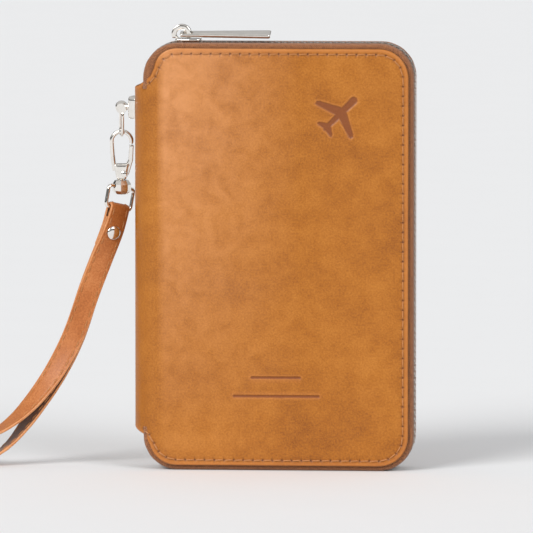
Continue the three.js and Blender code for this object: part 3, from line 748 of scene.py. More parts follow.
def unrolled(points):
    """Points seen from the front, as they lie on the leather measured from the spine's middle."""
    x, z = points[:, 0], points[:, 1]
    bent = HALF * np.arccos(np.clip((SPINE_X - x) / HALF, -1, 1))
    return np.stack([np.where(x < SPINE_X, bent, QUARTER + x - SPINE_X), z], 1)


def on_leather(side, radius=HALF):
    """Places flat points on a layer that is wrapped round the spine."""

    def put(flat, height):
        reach = radius + np.asarray(height)
        angle = np.minimum(flat[:, 0] / HALF, np.pi / 2)
        x = SPINE_X - reach * np.cos(angle) + np.maximum(flat[:, 0] - QUARTER, 0)
        y = MID_Y + side * reach * np.sin(angle)
        return np.stack([x, y, flat[:, 1]], 1)

    return put


def aeroplane():
    """Outlines of a plain aeroplane flying up and to the right, about its middle."""
    size = 10.6

    def placed(points):
        turn = math.radians(-45)
        points = np.asarray(points, float) * size
        x = points[:, 0] * math.cos(turn) - points[:, 1] * math.sin(turn)
        y = points[:, 0] * math.sin(turn) + points[:, 1] * math.cos(turn)
        return np.stack([x, y], 1)

    body = np.concatenate([
        arc(0, 0.83, 0.165, 0, 180, 10), arc(0, -0.86, 0.1, 180, 360, 6),
    ])
    shapes = [body]
    for s in (-1, 1):
        wing = [(0, 0.3), (s * 0.12, 0.28), (s * 1.0, -0.2), (s * 1.08, -0.28),
                (s * 1.06, -0.42), (s * 0.97, -0.42), (s * 0.12, -0.16), (0, -0.14)]
        fin = [(0, -0.62), (s * 0.1, -0.62), (s * 0.4, -0.84), (s * 0.42, -0.93),
               (s * 0.36, -0.97), (0, -0.9)]
        shapes += [wing, fin]
    return [placed(shape) for shape in shapes]


def pressed_marks():
    """The front cover's pressed decoration: an aeroplane and two plain rules."""
    centre = np.array([RIGHT - 33, TOP - 31.5])
    marks = [shape + centre for shape in aeroplane()]
    for x0, x1, z in ((-10, 12.5, BASE + 42), (-18, 21, BASE + 33.6)):
        marks.append(rounded_box(x0, x1, z - 0.6, z + 0.6, 0.5, 4))
    return marks


def depth_inside(points, shapes):
    """Signed distance to a set of shapes, positive inside them."""
    best = np.full(len(points), -1e9)
    for shape in shapes:
        lo, hi = shape.min(0) - 4, shape.max(0) + 4
        near = np.all((points > lo) & (points < hi), 1)
        if near.any():
            gap = distance_to(points[near], shape, True)
            gap[~within(points[near], shape)] *= -1
            best[near] = np.maximum(best[near], gap)
    return best


def smooth(low_end, high_end, value):
    t = np.clip((value - low_end) / (high_end - low_end), 0, 1)
    return t * t * (3 - 2 * t)


def cover_wrap(side_name):
    """Half the spine's leather and one cover's, in one skin with its stitching."""
    side = SIDES[side_name]
    edge = resample(unrolled(resample(leather_outline(), 0.4)), 0.5)
    spine_middle = [(0.0, z) for z in np.arange(edge[-1][1] - 0.7, edge[0][1], -0.7)]
    outline = np.concatenate([edge, spine_middle])
    inward = side_of(edge, False)
    edge_radius = 0.85
    lines = []
    for inset in (0.1, 0.3, 0.55, edge_radius, 1.5, STITCH_INSET - 0.55, STITCH_INSET,
                  STITCH_INSET + 0.55, 4.2):
        ring = edge + inward * inset
        lines.append((resample(ring[ring[:, 0] > 0.1], 0.55), False))
    seam = edge + inward * STITCH_INSET
    seam = resample(seam[seam[:, 0] > 10.5], 0.3)
    lines.append((np.array([(0.35, z) for z in np.arange(edge[0][1] + 2, edge[-1][1] - 2, 1.2)]), False))
    marks = pressed_marks() if side_name == "front" else []
    marks = [unrolled(shape) for shape in marks]
    dense = []
    if marks:
        plane = np.concatenate(marks[:5])
        dense.append((*plane.min(0) - 0.8, *plane.max(0) + 0.8, 0.34))
        for rule in marks[5:]:
            dense.append((*rule.min(0) - 0.6, *rule.max(0) + 0.6, 0.28))
    flat, triangles, rings = triangulate(outline, [], lines, 1.7, dense)

    distance = distance_to(flat, edge, False)
    height = rounded_edge(distance, edge_radius)
    groove = np.exp(-(((distance - STITCH_INSET) / 0.5) ** 2)) * smooth(9, 12, flat[:, 0])
    height = height - 0.16 * groove
    swell = np.sin(flat[:, 0] / 9.5 + 1) * np.sin(flat[:, 1] / 12.5)
    height += 0.09 * swell * smooth(2, 12, distance) * smooth(20, 32, flat[:, 0])
    holes, _ = stitch_stops(seam, STITCH_PITCH)
    hole = np.zeros(len(flat))
    near = np.abs(distance - STITCH_INSET) < 1.4
    gaps = np.linalg.norm(flat[near][:, None] - holes[None], axis=2).min(1)
    hole[near] = 1 - smooth(0.35, 0.75, gaps)
    height -= 0.3 * hole
    pressed = np.zeros(len(flat))
    rim = np.zeros(len(flat))
    if marks:
        depth = depth_inside(flat, marks)
        pressed = smooth(-0.12, 0.3, depth)
        rim = np.exp(-(((depth + 0.45) / 0.3) ** 2))
        height += -0.38 * pressed + 0.07 * rim
    # The rolled edge is made lighter, partly rub wear and partly painted highlight, with a painted highlight
    # on the raised rim round the pressed marks.
    edge_wear_and_highlight = np.exp(-(((distance - 0.9) / 0.7) ** 2)) * 0.55 + 0.35 * rim
    # The three marks: the lighter edge and rim, the darker pressed leather, and painted shade in the stitch
    # holes.
    tints = np.stack([np.clip(edge_wear_and_highlight, 0, 1), pressed * 0.85, hole * 0.9], 1)

    put = on_leather(side)
    uv = flat * (-side, 1) + UV_PLACE
    n = len(flat)
    build = Build()
    under = rounded_edge(distance, edge_radius)
    if side < 0:
        triangles = triangles[:, ::-1]
    faces = [list(t) for t in triangles[:, ::-1]]
    ring = rings[0]
    build.add(put(flat, height), faces, uv, 0, tints)
    build.add(put(flat, -LEATHER - under), [f[::-1] for f in faces], uv, 2)
    for i, j in zip(ring, ring[1:] + ring[:1]):
        wall = [i, i + n, j + n, j]
        build.faces.append(wall if side > 0 else wall[::-1])
        build.slots.append(0)
    stitches(build, seam, on_leather(side), slot=1)
    piece = build.object(side_name + "_cover_leather", [COVER, THREAD, FLESH])

    def place(degrees):
        angle = math.radians(degrees)
        x = SPINE_X - HALF * math.cos(angle)
        return (x * MM, (MID_Y + side * HALF * math.sin(angle)) * MM, 0)

    if side_name == "front":
        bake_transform(piece)
        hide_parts("front_leather", "spine_leather")
    else:
        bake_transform(piece)
        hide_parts("back_leather", "spine_leather")


# ---- Zip ----


def zip_line(step=1.0):
    """The zip's line and its inward directions, clockwise from its upper end to its lower one."""
    r = WALL_CORNER
    line = np.concatenate([
        [(WALL_LEFT, ZIP_ENDS[1])],
        arc(WALL_LEFT + r, TOP - r, r, 180, 90),
        arc(RIGHT - r, TOP - r, r, 90, 0),
        arc(RIGHT - r, BASE + r, r, 0, -90),
        arc(WALL_LEFT + r, BASE + r, r, -90, -180),
        [(WALL_LEFT, ZIP_ENDS[0])],
    ])
    line = resample(line, step)
    return line, -side_of(line, False)


def bent(line):
    """How strongly each point of a line lies in a corner, 0 to 1."""
    turn = np.linalg.norm(np.diff(line, 2, axis=0), axis=1)
    turn = np.concatenate([turn[:1], turn, turn[-1:]])
    turn = turn / (turn.max() + 1e-9)
    return np.convolve(turn, np.ones(9) / 9, "same")


def zip_tape(side_name):
    """One woven tape: it turns in under the leather at one edge and holds the teeth at the other."""
    side = SIDES[side_name]
    section = np.array([
        (1.6, 2.7), (1.1, 2.5), (0.75, 2.8), (0.62, 3.6), (0.35, 4.8), (0.02, 6.6), (-0.1, 8.2),
        (-0.02, 9.6), (0.3, 10.5), (0.9, 10.98), (2.0, 11.12), (6.4, 11.1),
        (6.4, 10.45), (2.0, 10.45), (1.3, 10.25), (0.8, 9.5), (0.68, 8.2), (0.75, 6.6),
        (1.0, 5.0), (1.25, 3.8), (1.4, 3.2), (1.6, 3.1),
    ])
    section = resample(section, 0.5, True)
    line, inward = zip_line(0.9)
    corner = bent(line)
    run = np.arange(len(line)) * 0.9
    ripple = 0.1 * corner * np.sin(run / 1.1)
    build = Build()
    n = len(section)
    points, uv = [], []
    across = np.concatenate([[0], np.cumsum(np.linalg.norm(np.diff(section, axis=0), axis=1))])
    for i in range(len(line)):
        soft = section[:, 0] + ripple[i] * (section[:, 0] < 1.5)
        flat = line[i] + soft[:, None] * inward[i]
        points.append(np.stack([flat[:, 0], MID_Y + side * section[:, 1], flat[:, 1]], 1))
        uv.append(np.stack([np.full(n, run[i]), across], 1))
    faces = []
    for i in range(len(line) - 1):
        for k in range(n):
            m = (k + 1) % n
            quad = [i * n + k, i * n + m, (i + 1) * n + m, (i + 1) * n + k]
            faces.append(quad if side < 0 else quad[::-1])
    ends = [list(range(n))[::-1], list(range((len(line) - 1) * n, len(line) * n))]
    faces += ends if side < 0 else [end[::-1] for end in ends]
    build.add(np.concatenate(points), faces, np.concatenate(uv))
    piece = build.object(side_name + "_woven_tape", [TAPE], 60)
    settle(piece, side_name + "_cover", "zip_tape", side_name + "_zip_tape")


def zip_teeth(side_name):
    """Stamped teeth clamped on the tape's edge; the two sides' heads lie between each other."""
    side = SIDES[side_name]
    profile = np.array([
        (0.5, 3.5), (0.62, 2.6), (0.55, 1.3), (0.7, 0.7), (0.66, 0.1), (0.36, -0.35),
        (-0.36, -0.35), (-0.66, 0.1), (-0.7, 0.7), (-0.55, 1.3), (-0.62, 2.6), (-0.5, 3.5),
    ])
    centre = profile.mean(0)
    layers = [(-0.25, 0.8), (0.0, 1.0), (1.85, 1.0), (2.1, 0.8)]
    fine, fine_in = zip_line(0.1)
    run = np.arange(len(fine)) * 0.1
    pitch = 2.9
    build = Build()
    n = len(profile)
    for at in np.arange(2 + (pitch / 2 if side > 0 else 0), run[-1] - 2, pitch):
        i = int(at / 0.1)
        inward = fine_in[i]
        along = np.array([inward[1], -inward[0]])
        points = []
        for inset, share in layers:
            shape = centre + (profile - centre) * share
            flat = fine[i] + inset * inward + shape[:, :1] * along
            points.append(np.stack([flat[:, 0], MID_Y + side * shape[:, 1], flat[:, 1]], 1))
        points = np.concatenate(points)
        faces = [list(range(n)), list(range(3 * n, 4 * n))[::-1]]
        for layer in range(3):
            for k in range(n):
                m = (k + 1) % n
                a = layer * n
                faces.append([a + m, a + k, a + n + k, a + n + m])
        if side > 0:
            faces = [f[::-1] for f in faces]
        build.add(points, faces)
    piece = build.object(side_name + "_metal_teeth", [TEETH], 30)
    settle(piece, side_name + "_cover", "zip_metal", side_name + "_zip_teeth")


def slider():
    """The slider's two plates and the post between them, its bail, and the rolled metal pull."""
    lo, hi = low("slider_body"), high("slider_body")
    middle = (lo + hi) / 2
    outline = np.concatenate([
        arc(3.6, 1.9, 2.2, 0, 90, 6), [(0.5, 4.3)], arc(-4.2, 1.6, 1.8, 90, 180, 6),
        arc(-4.2, -1.6, 1.8, 180, 270, 6), [(0.5, -4.3)], arc(3.6, -1.9, 2.2, 270, 360, 6),
    ])
    build = Build()
    for z in (hi[2] - 0.55, lo[2] + 0.55):
        origin = (middle[0], MID_Y, z)
        plate(build, outline, [], 1.1, 0.35, facing(origin, (1, 0, 0), (0, 1, 0), (0, 0, 1)), 1.2, 0.4)
    post = rounded_box(lo[0] + 0.7, lo[0] + 3.0, -0.3, 0.3, 0.25, 3) + (0, MID_Y)
    plate(build, post, [], hi[2] - lo[2] - 1.8, 0.1,
          facing((0, 0, middle[2]), (1, 0, 0), (0, 1, 0), (0, 0, 1)), 0.8, 0.3)
    settle(build.object("slider_shell", [NICKEL]), "slider", "bright_metal", "slider_body")

    lo, hi = low("slider_bail"), high("slider_bail")
    centre = np.array([(lo[0] + hi[0]) / 2, MID_Y, lo[2] + 1.7])
    arch = np.concatenate([arc(0, 0, 4.55, -16, 196, 40), [(-4.1, -1.7), (4.1, -1.7)]])
    build = Build()
    plate(build, arch, [arc(0, 0, 2.25, 0, 360, 40)[:-1]], 3.4, 0.5,
          facing(centre, (1, 0, 0), (0, 0, 1), (0, -1, 0)), 0.8, 0.3)
    settle(build.object("slider_arch", [NICKEL]), "slider", "bright_metal", "slider_bail")

    roll = math.radians(12)
    tab = np.concatenate([
        arc(3.3, -39.0, 1.0, 270, 360, 6), [(2.8, -7.8)], arc(1.9, -0.15, 0.9, 0, 90, 6),
        arc(-1.9, -0.15, 0.9, 90, 180, 6), [(-2.8, -7.8)], arc(-3.3, -39.0, 1.0, 180, 270, 6),
    ])
    window = rounded_box(-2.2, 2.2, -4.8, -0.75, 0.5, 4)
    build = Build()
    axes = ((0, math.cos(roll), math.sin(roll)), (-1, 0, 0), (0, -math.sin(roll), math.cos(roll)))
    plate(build, tab, [window], 1.8, 0.55, facing(centre, *axes), 1.2, 0.35)
    settle(build.object("slider_pull", [NICKEL]), "pull", "bright_metal", "pull_tab")


# ---- Strap hardware ----

ANCHOR_TURN = math.radians(22)
OUTWARD = np.array([-math.cos(ANCHOR_TURN), math.sin(ANCHOR_TURN), 0])
ROUND = np.array([math.sin(ANCHOR_TURN), math.cos(ANCHOR_TURN), 0])
SPINE_AXIS = np.array([SPINE_X, MID_Y, 66.0])
BALL = SPINE_AXIS + OUTWARD * 21.35
RING_TOP = BALL[2] - 0.5
UP = np.array([0, 0, 1.0])
RING_TURN = math.radians(-14)


def anchor():
    """The curved plate on the spine with its ball stud, and the screw inside."""

    def on_spine(flat, height):
        seat = np.sqrt(13.35**2 - flat[:, 0] ** 2)
        crown = 15.1 + np.asarray(height) - 0.035 * flat[:, 0] ** 2
        reach = np.where(np.asarray(height) > 0, crown, seat)
        return SPINE_AXIS + flat[:, :1] * ROUND + flat[:, 1:2] * UP + reach[:, None] * OUTWARD

    build = Build()
    plate(build, rounded_box(-3.7, 3.7, -5.2, 5.2, 2.0, 8), [], 3.6, 1.1, on_spine, 0.8, 0.3)
    settle(build.object("anchor_plate", [NICKEL]), "spine", "bright_metal", "anchor_cap")

    build = Build()
    neck = [(0, 15.6), (1.3, 15.6), (1.3, 18.0), (1.5, 18.6)]
    angles = np.radians(np.linspace(152, 0, 26))
    neck += [(2.85 * math.sin(a), 21.35 + -2.85 * math.cos(math.pi - a) * -1) for a in angles]
    turned(build, neck, SPINE_AXIS, OUTWARD, 56)
    ball = build.object("anchor_ball", [NICKEL])
    mouth = [(0, -3.6), (2.2, -3.6), (1.35, -2.5), (0.9, -0.9), (0.85, 0),
             (0.9, 0.9), (1.35, 2.5), (2.2, 3.6), (0, 3.6)]
    eye = (BALL[0], BALL[1], RING_TOP)
    ball = carved(ball, cutter(lambda b: turned(b, mouth, eye, (0, 1, 0), 32)))
    settle(ball, "spine", "bright_metal", "ball_stud")

    build = Build()
    turned(build, [(0, 10.4), (1.2, 10.4), (1.2, 14.8), (0, 14.8)], SPINE_AXIS, OUTWARD, 24)
    head = [(0, 7.9), (0.9, 7.9), (1.9, 8.0), (2.5, 8.3), (2.6, 8.6), (0, 8.75)]
    turned(build, head, SPINE_AXIS, OUTWARD, 36)
    settle(build.object("anchor_screw_head", [NICKEL]), "spine", "bright_metal", "anchor_screw")


def link_ring():
    """An oval ring of round wire through the ball's eye."""
    half, bend = 6.25, 3.4
    oval = np.concatenate([arc(0, half - bend, bend, 0, 180, 24), arc(0, bend - half, bend, 180, 360, 24)])
    oval = resample(oval, 0.5, True)
    wide = np.array([math.sin(RING_TURN), math.cos(RING_TURN), 0])
    path = np.array([BALL[0], BALL[1], RING_TOP - half]) + oval[:, :1] * wide + oval[:, 1:] * UP
    build = Build()
    tube(build, path, 0.65, 16, True, (1, 0, 0))
    settle(build.object("oval_link", [NICKEL]), "ring", "bright_metal", "link_ring")


BOW_TOP = high("hook_body")[2] - 1
HOOK_TOP = BOW_TOP + 1 - 15.5
HOOK_LOW = HOOK_TOP - 7.2
PIN_Z = HOOK_LOW + 2.6
HOOK_PLANE = ((1, 0, 0), (0, 0, 1), (0, -1, 0))


def snap_hook():
    """The hook's tapering body and round bow, its sprung gate, and the pin that the gate turns on."""
    origin = (BALL[0], BALL[1], 0)
    put = facing(origin, *HOOK_PLANE)
    shape = np.concatenate([
        arc(1.5, HOOK_LOW + 0.9, 0.9, 270, 360, 5), [(3.3, HOOK_TOP - 1.2)],
        arc(2.7, HOOK_TOP - 0.9, 0.9, 0, 90, 5), arc(-2.7, HOOK_TOP - 0.9, 0.9, 90, 180, 5),
        [(-3.3, HOOK_TOP - 1.2)], arc(-1.5, HOOK_LOW + 0.9, 0.9, 180, 270, 5),
    ])
    build = Build()
    plate(build, shape, [], 4.4, 1.1, put, 0.8, 0.3)
    body = build.object("hook_shell", [NICKEL])
    slot = rounded_box(-0.9, 9, PIN_Z - 1.6, HOOK_TOP + 3, 0.3, 2)
    body = carved(body, cutter(lambda b: plate(b, slot, [], 2.2, 0.05, put, 2, 1)))
    settle(body, "hook", "bright_metal", "hook_body")

    line = np.concatenate([
        [(-3.1, HOOK_TOP - 3.2), (-3.5, HOOK_TOP - 1), (-4.1, HOOK_TOP + 2)],
        arc(0, BOW_TOP - 4.5, 4.5, 180, 0, 24), [(4.5, BOW_TOP - 5.6)],
    ])
    for _ in range(2):
        line = np.concatenate([line[:1], (line[:-2] + 2 * line[1:-1] + line[2:]) / 4, line[-1:]])
    line = resample(line, 0.45)
    build = Build()
    size = np.full(len(line), 1.0)
    size[-2:] = (0.9, 0.6)
    tube(build, put(line, np.zeros(len(line))), size, 18, False, (0, 1, 0))
    bow = build.object("hook_bow", [NICKEL])
    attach(bow, "hook")

    lever = np.array([
        (-0.1, PIN_Z - 0.6), (1.8, PIN_Z - 1.3), (3.3, PIN_Z - 0.2), (5.2, HOOK_TOP + 1.4),
        (5.5, BOW_TOP - 6.6), (5.1, BOW_TOP - 6.0), (3.6, BOW_TOP - 5.95), (3.5, BOW_TOP - 6.4),
        (3.0, HOOK_TOP + 1.6), (-0.1, PIN_Z + 1.4),
    ])
    build = Build()
    plate(build, lever, [1.4 * np.array([(1, 0)]) + (0, PIN_Z) + arc(0, 0, 0.95, 0, 360, 16)[:-1]],
          1.6, 0.4, put, 0.7, 0.25)
    settle(build.object("gate_lever", [NICKEL]), "gate", "bright_metal", "hook_gate")

    build = Build()
    place = (BALL[0] + 1.4, BALL[1], PIN_Z)
    rivet = [(0, -3.25), (0.8, -3.2), (1.35, -2.95), (1.5, -2.6), (1.5, -2.3), (0.7, -2.3),
             (0.7, 2.3), (1.5, 2.3), (1.5, 2.6), (1.35, 2.95), (0.8, 3.2), (0, 3.25)]
    turned(build, rivet, place, (0, 1, 0), 32)
    settle(build.object("gate_rivet", [NICKEL]), "hook", "bright_metal", "gate_pin")


BARREL_TOP = HOOK_LOW - 0.3
BARREL = np.array([BALL[0], BALL[1], BARREL_TOP - 3.2])
LOOP_ALONG = np.array([0.7708, 0.6022, -0.2079])
LOOP_DOWN = np.array([-0.1638, -0.1280, -0.9781])
STRAP_BAR = BARREL + LOOP_DOWN * 9.7


def swivel():
    """The eight-sided swivel barrel and the rectangular wire loop that hangs from it."""
    profile = [(0, -3.2), (2.4, -3.2), (2.75, -3.05), (4.1, -1.7), (4.25, -1.4), (4.25, 1.2),
               (4.1, 1.5), (3.2, 3.05), (2.9, 3.2), (1.1, 3.2), (1.1, 4.1), (0, 4.1)]
    build = Build()
    turned(build, profile, BARREL, UP, 8)
    barrel = build.object("swivel_shell", [NICKEL], 20)
    bore = [(0, -6), (1.15, -6), (1.15, 6), (0, 6)]
    barrel = carved(barrel, cutter(lambda b: turned(b, bore, BARREL, LOOP_ALONG, 20)))
    barrel.data.set_sharp_from_angle(angle=math.radians(20))
    bevel = barrel.modifiers.new("bevel", "BEVEL")
    bevel.width, bevel.segments, bevel.angle_limit = 0.18 * MM, 2, math.radians(25)
    settle(barrel, "swivel", "bright_metal", "swivel_barrel")

    frame_line = resample(rounded_box(-6.75, 6.75, 0, 9.7, 1.7, 8), 0.5, True)
    path = BARREL + frame_line[:, :1] * LOOP_ALONG + frame_line[:, 1:] * LOOP_DOWN
    build = Build()
    tube(build, path, 0.85, 16, True, np.cross(LOOP_ALONG, LOOP_DOWN))
    settle(build.object("wire_loop", [NICKEL]), "loop", "bright_metal", "strap_loop")


# ---- Wrist strap ----

STRAP_WIDE, STRAP_THICK = 10.0, 1.25
LEAF_PITCH = STRAP_THICK + 0.3
RIVET_AT, TAB_REACH, REAR_END = 11.0, 18.5, 4.6
# The middle between the strap's two leaves: x, y and z from the loop's bar, the turn of the
# strap's width about z in degrees, and half the opening between the leaves.
STRAP_ROUTE = np.array([
    (0, 0, 0, 38, 1.6), (-0.9, -0.3, -4, 37, 1.55), (-2.5, -0.7, -9.6, 30, 1.55),
    (-4.6, -1, -15.4, 25, 1.3), (-7, -1.3, -21.6, 19, 0.9), (-12.6, -2.3, -36.4, 9, 0.95),
    (-20, -3.3, -58, -6, 1.1), (-27.9, -4.3, -73.8, -20, 1.3), (-36.3, -5.3, -86.6, -36, 1.9),
    (-44.5, -6.1, -96.9, -54, 3), (-53.6, -6.5, -105, -72, 4.4), (-62.1, -6.5, -108.9, -84, 5.4),
    (-68.1, -6.5, -110, -90, 5.6),
])


def centripetal(points, per_span=40):
    """A smooth line through points, with knots spaced by the square root of their distances."""
    ends = np.concatenate([[2 * points[0] - points[1]], points, [2 * points[-1] - points[-2]]])
    line, stops = [], []
    for i in range(len(points) - 1):
        a, b, c, d = ends[i: i + 4]
        t0, t1, t2 = (np.linalg.norm(q - p) ** 0.5 for p, q in ((a, b), (b, c), (c, d)))
        m1 = ((b - a) / t0 - (c - a) / (t0 + t1) + (c - b) / t1) * t1
        m2 = ((c - b) / t1 - (d - b) / (t1 + t2) + (d - c) / t2) * t1
        last = i == len(points) - 2
        t = np.linspace(0, 1, per_span + 1)[: None if last else -1][:, None]
        line.append(
            b * (2 * t**3 - 3 * t**2 + 1) + m1 * (t**3 - 2 * t**2 + t)
            + c * (3 * t**2 - 2 * t**3) + m2 * (t**3 - t**2)
        )
        stops.append(i + t[:, 0])
    return np.concatenate(line), np.concatenate(stops)


ROUTE, ROUTE_STOPS = centripetal(STRAP_ROUTE[:, :3] + STRAP_BAR)
ROUTE_AT = np.concatenate([[0], np.cumsum(np.linalg.norm(np.diff(ROUTE, axis=0), axis=1))])
ROUTE_LENGTH = ROUTE_AT[-1]


def strap_frame(distance):
    """Middle, direction, width direction, front normal and half opening along the route."""
    d = min(max(distance, 0), ROUTE_LENGTH)

    def at(s):
        return np.array([np.interp(s, ROUTE_AT, ROUTE[:, k]) for k in range(3)])

    stop = np.interp(d, ROUTE_AT, ROUTE_STOPS)
    rows = np.arange(len(STRAP_ROUTE))
    turn = math.radians(np.interp(stop, rows, STRAP_ROUTE[:, 3]))
    half = np.interp(stop, rows, STRAP_ROUTE[:, 4])
    along = at(min(d + 0.8, ROUTE_LENGTH)) - at(max(d - 0.8, 0))
    along /= np.linalg.norm(along)
    across = np.array([math.cos(turn), math.sin(turn), 0])
    across -= along * (across @ along)
    across /= np.linalg.norm(across)
    return at(d), along, across, np.cross(along, across), half


def strap_line():
    """Rows of (middle, width direction) from the tab's end round the whole strap."""
    rows = []

    def add(distance, offset):
        middle, _, across, front, _ = strap_frame(distance)
        rows.append((middle + front * offset, across))

    for distance in np.linspace(TAB_REACH, 5, 14):
        add(distance, -LEAF_PITCH)
    wrap = 0.85 + 0.3 + STRAP_THICK / 2
    middle, along, across, front, _ = strap_frame(0)
    for x, y in arc(0, 0, wrap, 180, 0, 14):
        rows.append((STRAP_BAR + front * x - along * y, across))
    for distance in np.linspace(5, ROUTE_LENGTH, 90):
        add(distance, strap_frame(distance)[4])
    middle, along, across, front, half = strap_frame(ROUTE_LENGTH)
    for x, y in arc(0, 0, half, 90, -90, 16)[1:-1]:
        rows.append((middle + along * x + front * y, across))
    for distance in np.linspace(ROUTE_LENGTH, REAR_END, 90):
        free = smooth(TAB_REACH - 5, TAB_REACH + 4, distance)
        add(distance, -strap_frame(distance)[4] * free)
    return rows


def wrist_strap():
    """A flat strap of bonded leather: a loop for the wrist, folded round the wire loop's bar."""
    rows = strap_line()
    middles = np.array([r[0] for r in rows])
    for _ in range(2):
        middles[1:-1] = (middles[:-2] + 2 * middles[1:-1] + middles[2:]) / 4
    across = np.array([r[1] for r in rows])
    at = np.concatenate([[0], np.cumsum(np.linalg.norm(np.diff(middles, axis=0), axis=1))])
    even = np.linspace(0, at[-1], int(at[-1] / 0.9))
    middles = np.stack([np.interp(even, at, middles[:, k]) for k in range(3)], 1)
    across = np.stack([np.interp(even, at, across[:, k]) for k in range(3)], 1)
    along = np.gradient(middles, axis=0)
    along /= np.linalg.norm(along, axis=1)[:, None]
    face = np.cross(along, across)
    face /= np.linalg.norm(face, axis=1)[:, None]
    across = np.cross(face, along)

    def put(flat, height):
        """flat is (length along the strip, across), height is from its middle, out positive."""
        spot, wide, out = (
            np.stack([np.interp(flat[:, 0], even, part[:, k]) for k in range(3)], 1)
            for part in (middles, across, face)
        )
        return spot + flat[:, 1:2] * wide + np.asarray(height)[:, None] * out

    half_wide, half = STRAP_WIDE / 2, STRAP_THICK / 2
    seam = half_wide - 1.5
    top = []
    for s in np.concatenate([np.linspace(-4.6, -2.6, 7), np.linspace(-2, 2, 5), np.linspace(2.6, 4.6, 7)]):
        top.append((s, half - 0.1 * math.exp(-(((abs(s) - seam) / 0.4) ** 2)) + 0.04 * (1 - (s / 5) ** 2)))
    edge = [(4.85, half - 0.12), (4.98, half - 0.35), (4.98, 0.35 - half), (4.85, 0.12 - half)]
    bottom = [(s, -h) for s, h in top[::-1]]
    other = [(-s, -h) for s, h in edge]
    section = np.array(top + edge + bottom + other)
    n = len(section)
    outer = len(top)
    points, uv = [], []
    ring_length = np.concatenate([[0], np.cumsum(np.linalg.norm(np.diff(section, axis=0), axis=1))])
    for s in even:
        flat = np.stack([np.full(n, s), section[:, 0]], 1)
        points.append(put(flat, section[:, 1]))
        uv.append(np.stack([np.full(n, s), ring_length], 1))
    build = Build()
    groups = {0: [], 1: [], 2: []}
    for i in range(len(even) - 1):
        for k in range(n):
            m = (k + 1) % n
            quad = [i * n + k, (i + 1) * n + k, (i + 1) * n + m, i * n + m]
            on_top = k < outer - 1
            below = outer + len(edge) <= k < 2 * outer + len(edge) - 1
            groups[0 if on_top else 2 if below else 1].append(quad)
    last = (len(even) - 1) * n
    groups[1] += [list(range(n)), list(range(last, last + n))[::-1]]
    build.add(np.concatenate(points), [], np.concatenate(uv))
    for slot, faces in groups.items():
        build.faces += faces
        build.slots += [slot] * len(faces)
    for turn in (1, -1):
        for s in (-seam, seam):
            line = [(4.0, s), (even[-1] - 4.0, s)]

            def threaded(flat, height, turn=turn):
                return put(flat, turn * (half - 0.06 + np.asarray(height)))

            stitches(build, line, threaded, 4.8, 0.3, 0.12, 3)
    piece = build.object("wrist_strap_leather", [STRAP, STRAP_EDGE, FLESH, THREAD])
    settle(piece, "strap", "strap_leather", "wrist_strap")

    middle, along, _, front, _ = strap_frame(RIVET_AT)
    stack = LEAF_PITCH + STRAP_THICK / 2
    for name, node, sign in (("rivet_cap", "strap_rivet", 1), ("rivet_back", "strap_rivet_back", -1)):
        dome = [(0, -0.4), (1.1, -0.4), (1.1, 0.0), (2.9, 0.0), (3.1, 0.15), (3.1, 0.4), (2.85, 0.68),
                (2.2, 0.95), (1.2, 1.12), (0.5, 1.17), (0, 1.18)]
        build = Build()
        turned(build, dome, middle + front * sign * (stack + 0.12), front * sign, 48)
        settle(build.object(name, [NICKEL]), "strap", "bright_metal", node)


# ---- Inside ----


def panel(name, body, side, outer, thick, x0, x1, z0, z1, corner, material, slot, node, seams=()):
    """A flat layer inside a cover: |y| from the middle is outer at its far face."""
    origin = (0, MID_Y + side * (outer - thick / 2), 0)
    put = facing(origin, (1, 0, 0), (0, 0, 1), (0, -side, 0))
    build = Build()
    plate(build, rounded_box(x0, x1, z0, z1, corner, 5), [], thick, min(0.3, thick * 0.42), put, 5, 1.2)
    for line in seams:
        stitches(build, np.asarray(line, float), lambda f, h: put(f, thick / 2 - 0.05 + h), 3.6, 0.24, 0.06, 1)
    piece = build.object(name, [material, THREAD])
    settle(piece, body, slot, node)


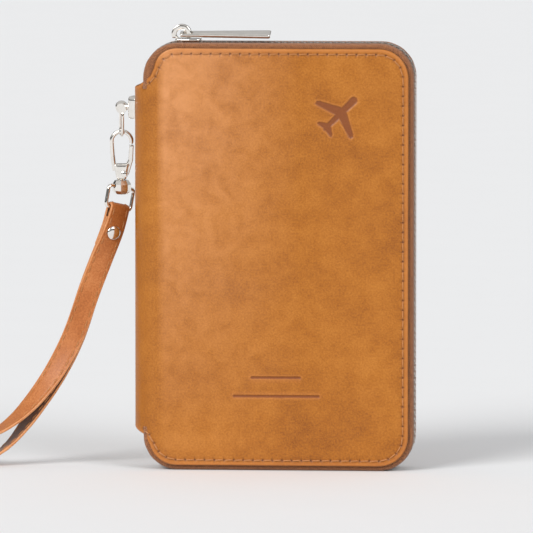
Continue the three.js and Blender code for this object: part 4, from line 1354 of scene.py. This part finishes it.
def interior():
    for side_name, side in SIDES.items():
        cover = side_name + "_cover"
        lo, hi = low(side_name + "_lining"), high(side_name + "_lining")
        panel(side_name + "_lining_cloth", cover, side, 9.9, 0.7, lo[0], hi[0], lo[2], hi[2], 13.5,
              LINING, "lining", side_name + "_lining")
    pockets = [
        ("boarding_pass_pocket", 1, 0), ("passport_pocket", 1, 1), ("cash_pocket", -1, 0),
        ("card_slot_1", -1, 1), ("card_slot_2", -1, 2), ("card_slot_3", -1, 3), ("card_slot_4", -1, 4),
    ]
    for node, side, layer in pockets:
        lo, hi = low(node), high(node)
        hem = [(lo[0] + 1.6, hi[2] - 2.2), (hi[0] - 1.6, hi[2] - 2.2)]
        border = [
            (lo[0] + 1.5, hi[2] - 2.2), (lo[0] + 1.5, lo[2] + 1.8),
            (hi[0] - 1.5, lo[2] + 1.8), (hi[0] - 1.5, hi[2] - 2.2),
        ]
        top_layer = node in ("passport_pocket", "card_slot_4")
        seams = [hem, resample(border, 0.5)] if top_layer else [hem]
        panel(node + "_leather", "back_cover" if side > 0 else "front_cover", side, 8.9 - 1.1 * layer,
              0.8, lo[0], hi[0], lo[2], hi[2], 2.0, POCKET, "pocket_leather", node, seams)
    lo, hi = low("pen_loop"), high("pen_loop")
    centre = (lo + hi) / 2
    build = Build()
    radius = (hi[0] - lo[0]) / 2
    wall = [(radius - 0.9, 0.25), (radius - 0.7, 0), (radius - 0.2, 0), (radius, 0.25)]
    tall = hi[2] - lo[2]
    wall += [(radius, tall - 0.25), (radius - 0.2, tall), (radius - 0.7, tall), (radius - 0.9, tall - 0.25)]
    turned(build, wall + wall[:1], (centre[0], centre[1], lo[2]), (0, 0, 1), 48)
    settle(build.object("pen_loop_leather", [POCKET]), "back_cover", "pocket_leather", "pen_loop")

    put = on_leather(1, 11.6 - 0.3 - 0.35)
    lo, hi = low("spine_lining"), high("spine_lining")
    reach = math.radians(39.5) * HALF

    build = Build()
    outline = rounded_box(-reach, reach, lo[2], hi[2], 1.0, 3)
    plate(build, outline, [], 0.7, 0.25, put, 2.2, 0.9)
    settle(build.object("spine_lining_cloth", [LINING]), "spine", "lining", "spine_lining")
    for node in ("back_board", "front_board"):
        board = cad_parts[node]
        for slot in board.material_slots:
            slot.material = BOARD


make_camera()
make_light()
make_floor()
scene.view_settings.view_transform = "Standard"
for name in SIDES:
    cover_wrap(name)
    zip_tape(name)
    zip_teeth(name)
slider()
anchor()
link_ring()
snap_hook()
swivel()
wrist_strap()
interior()
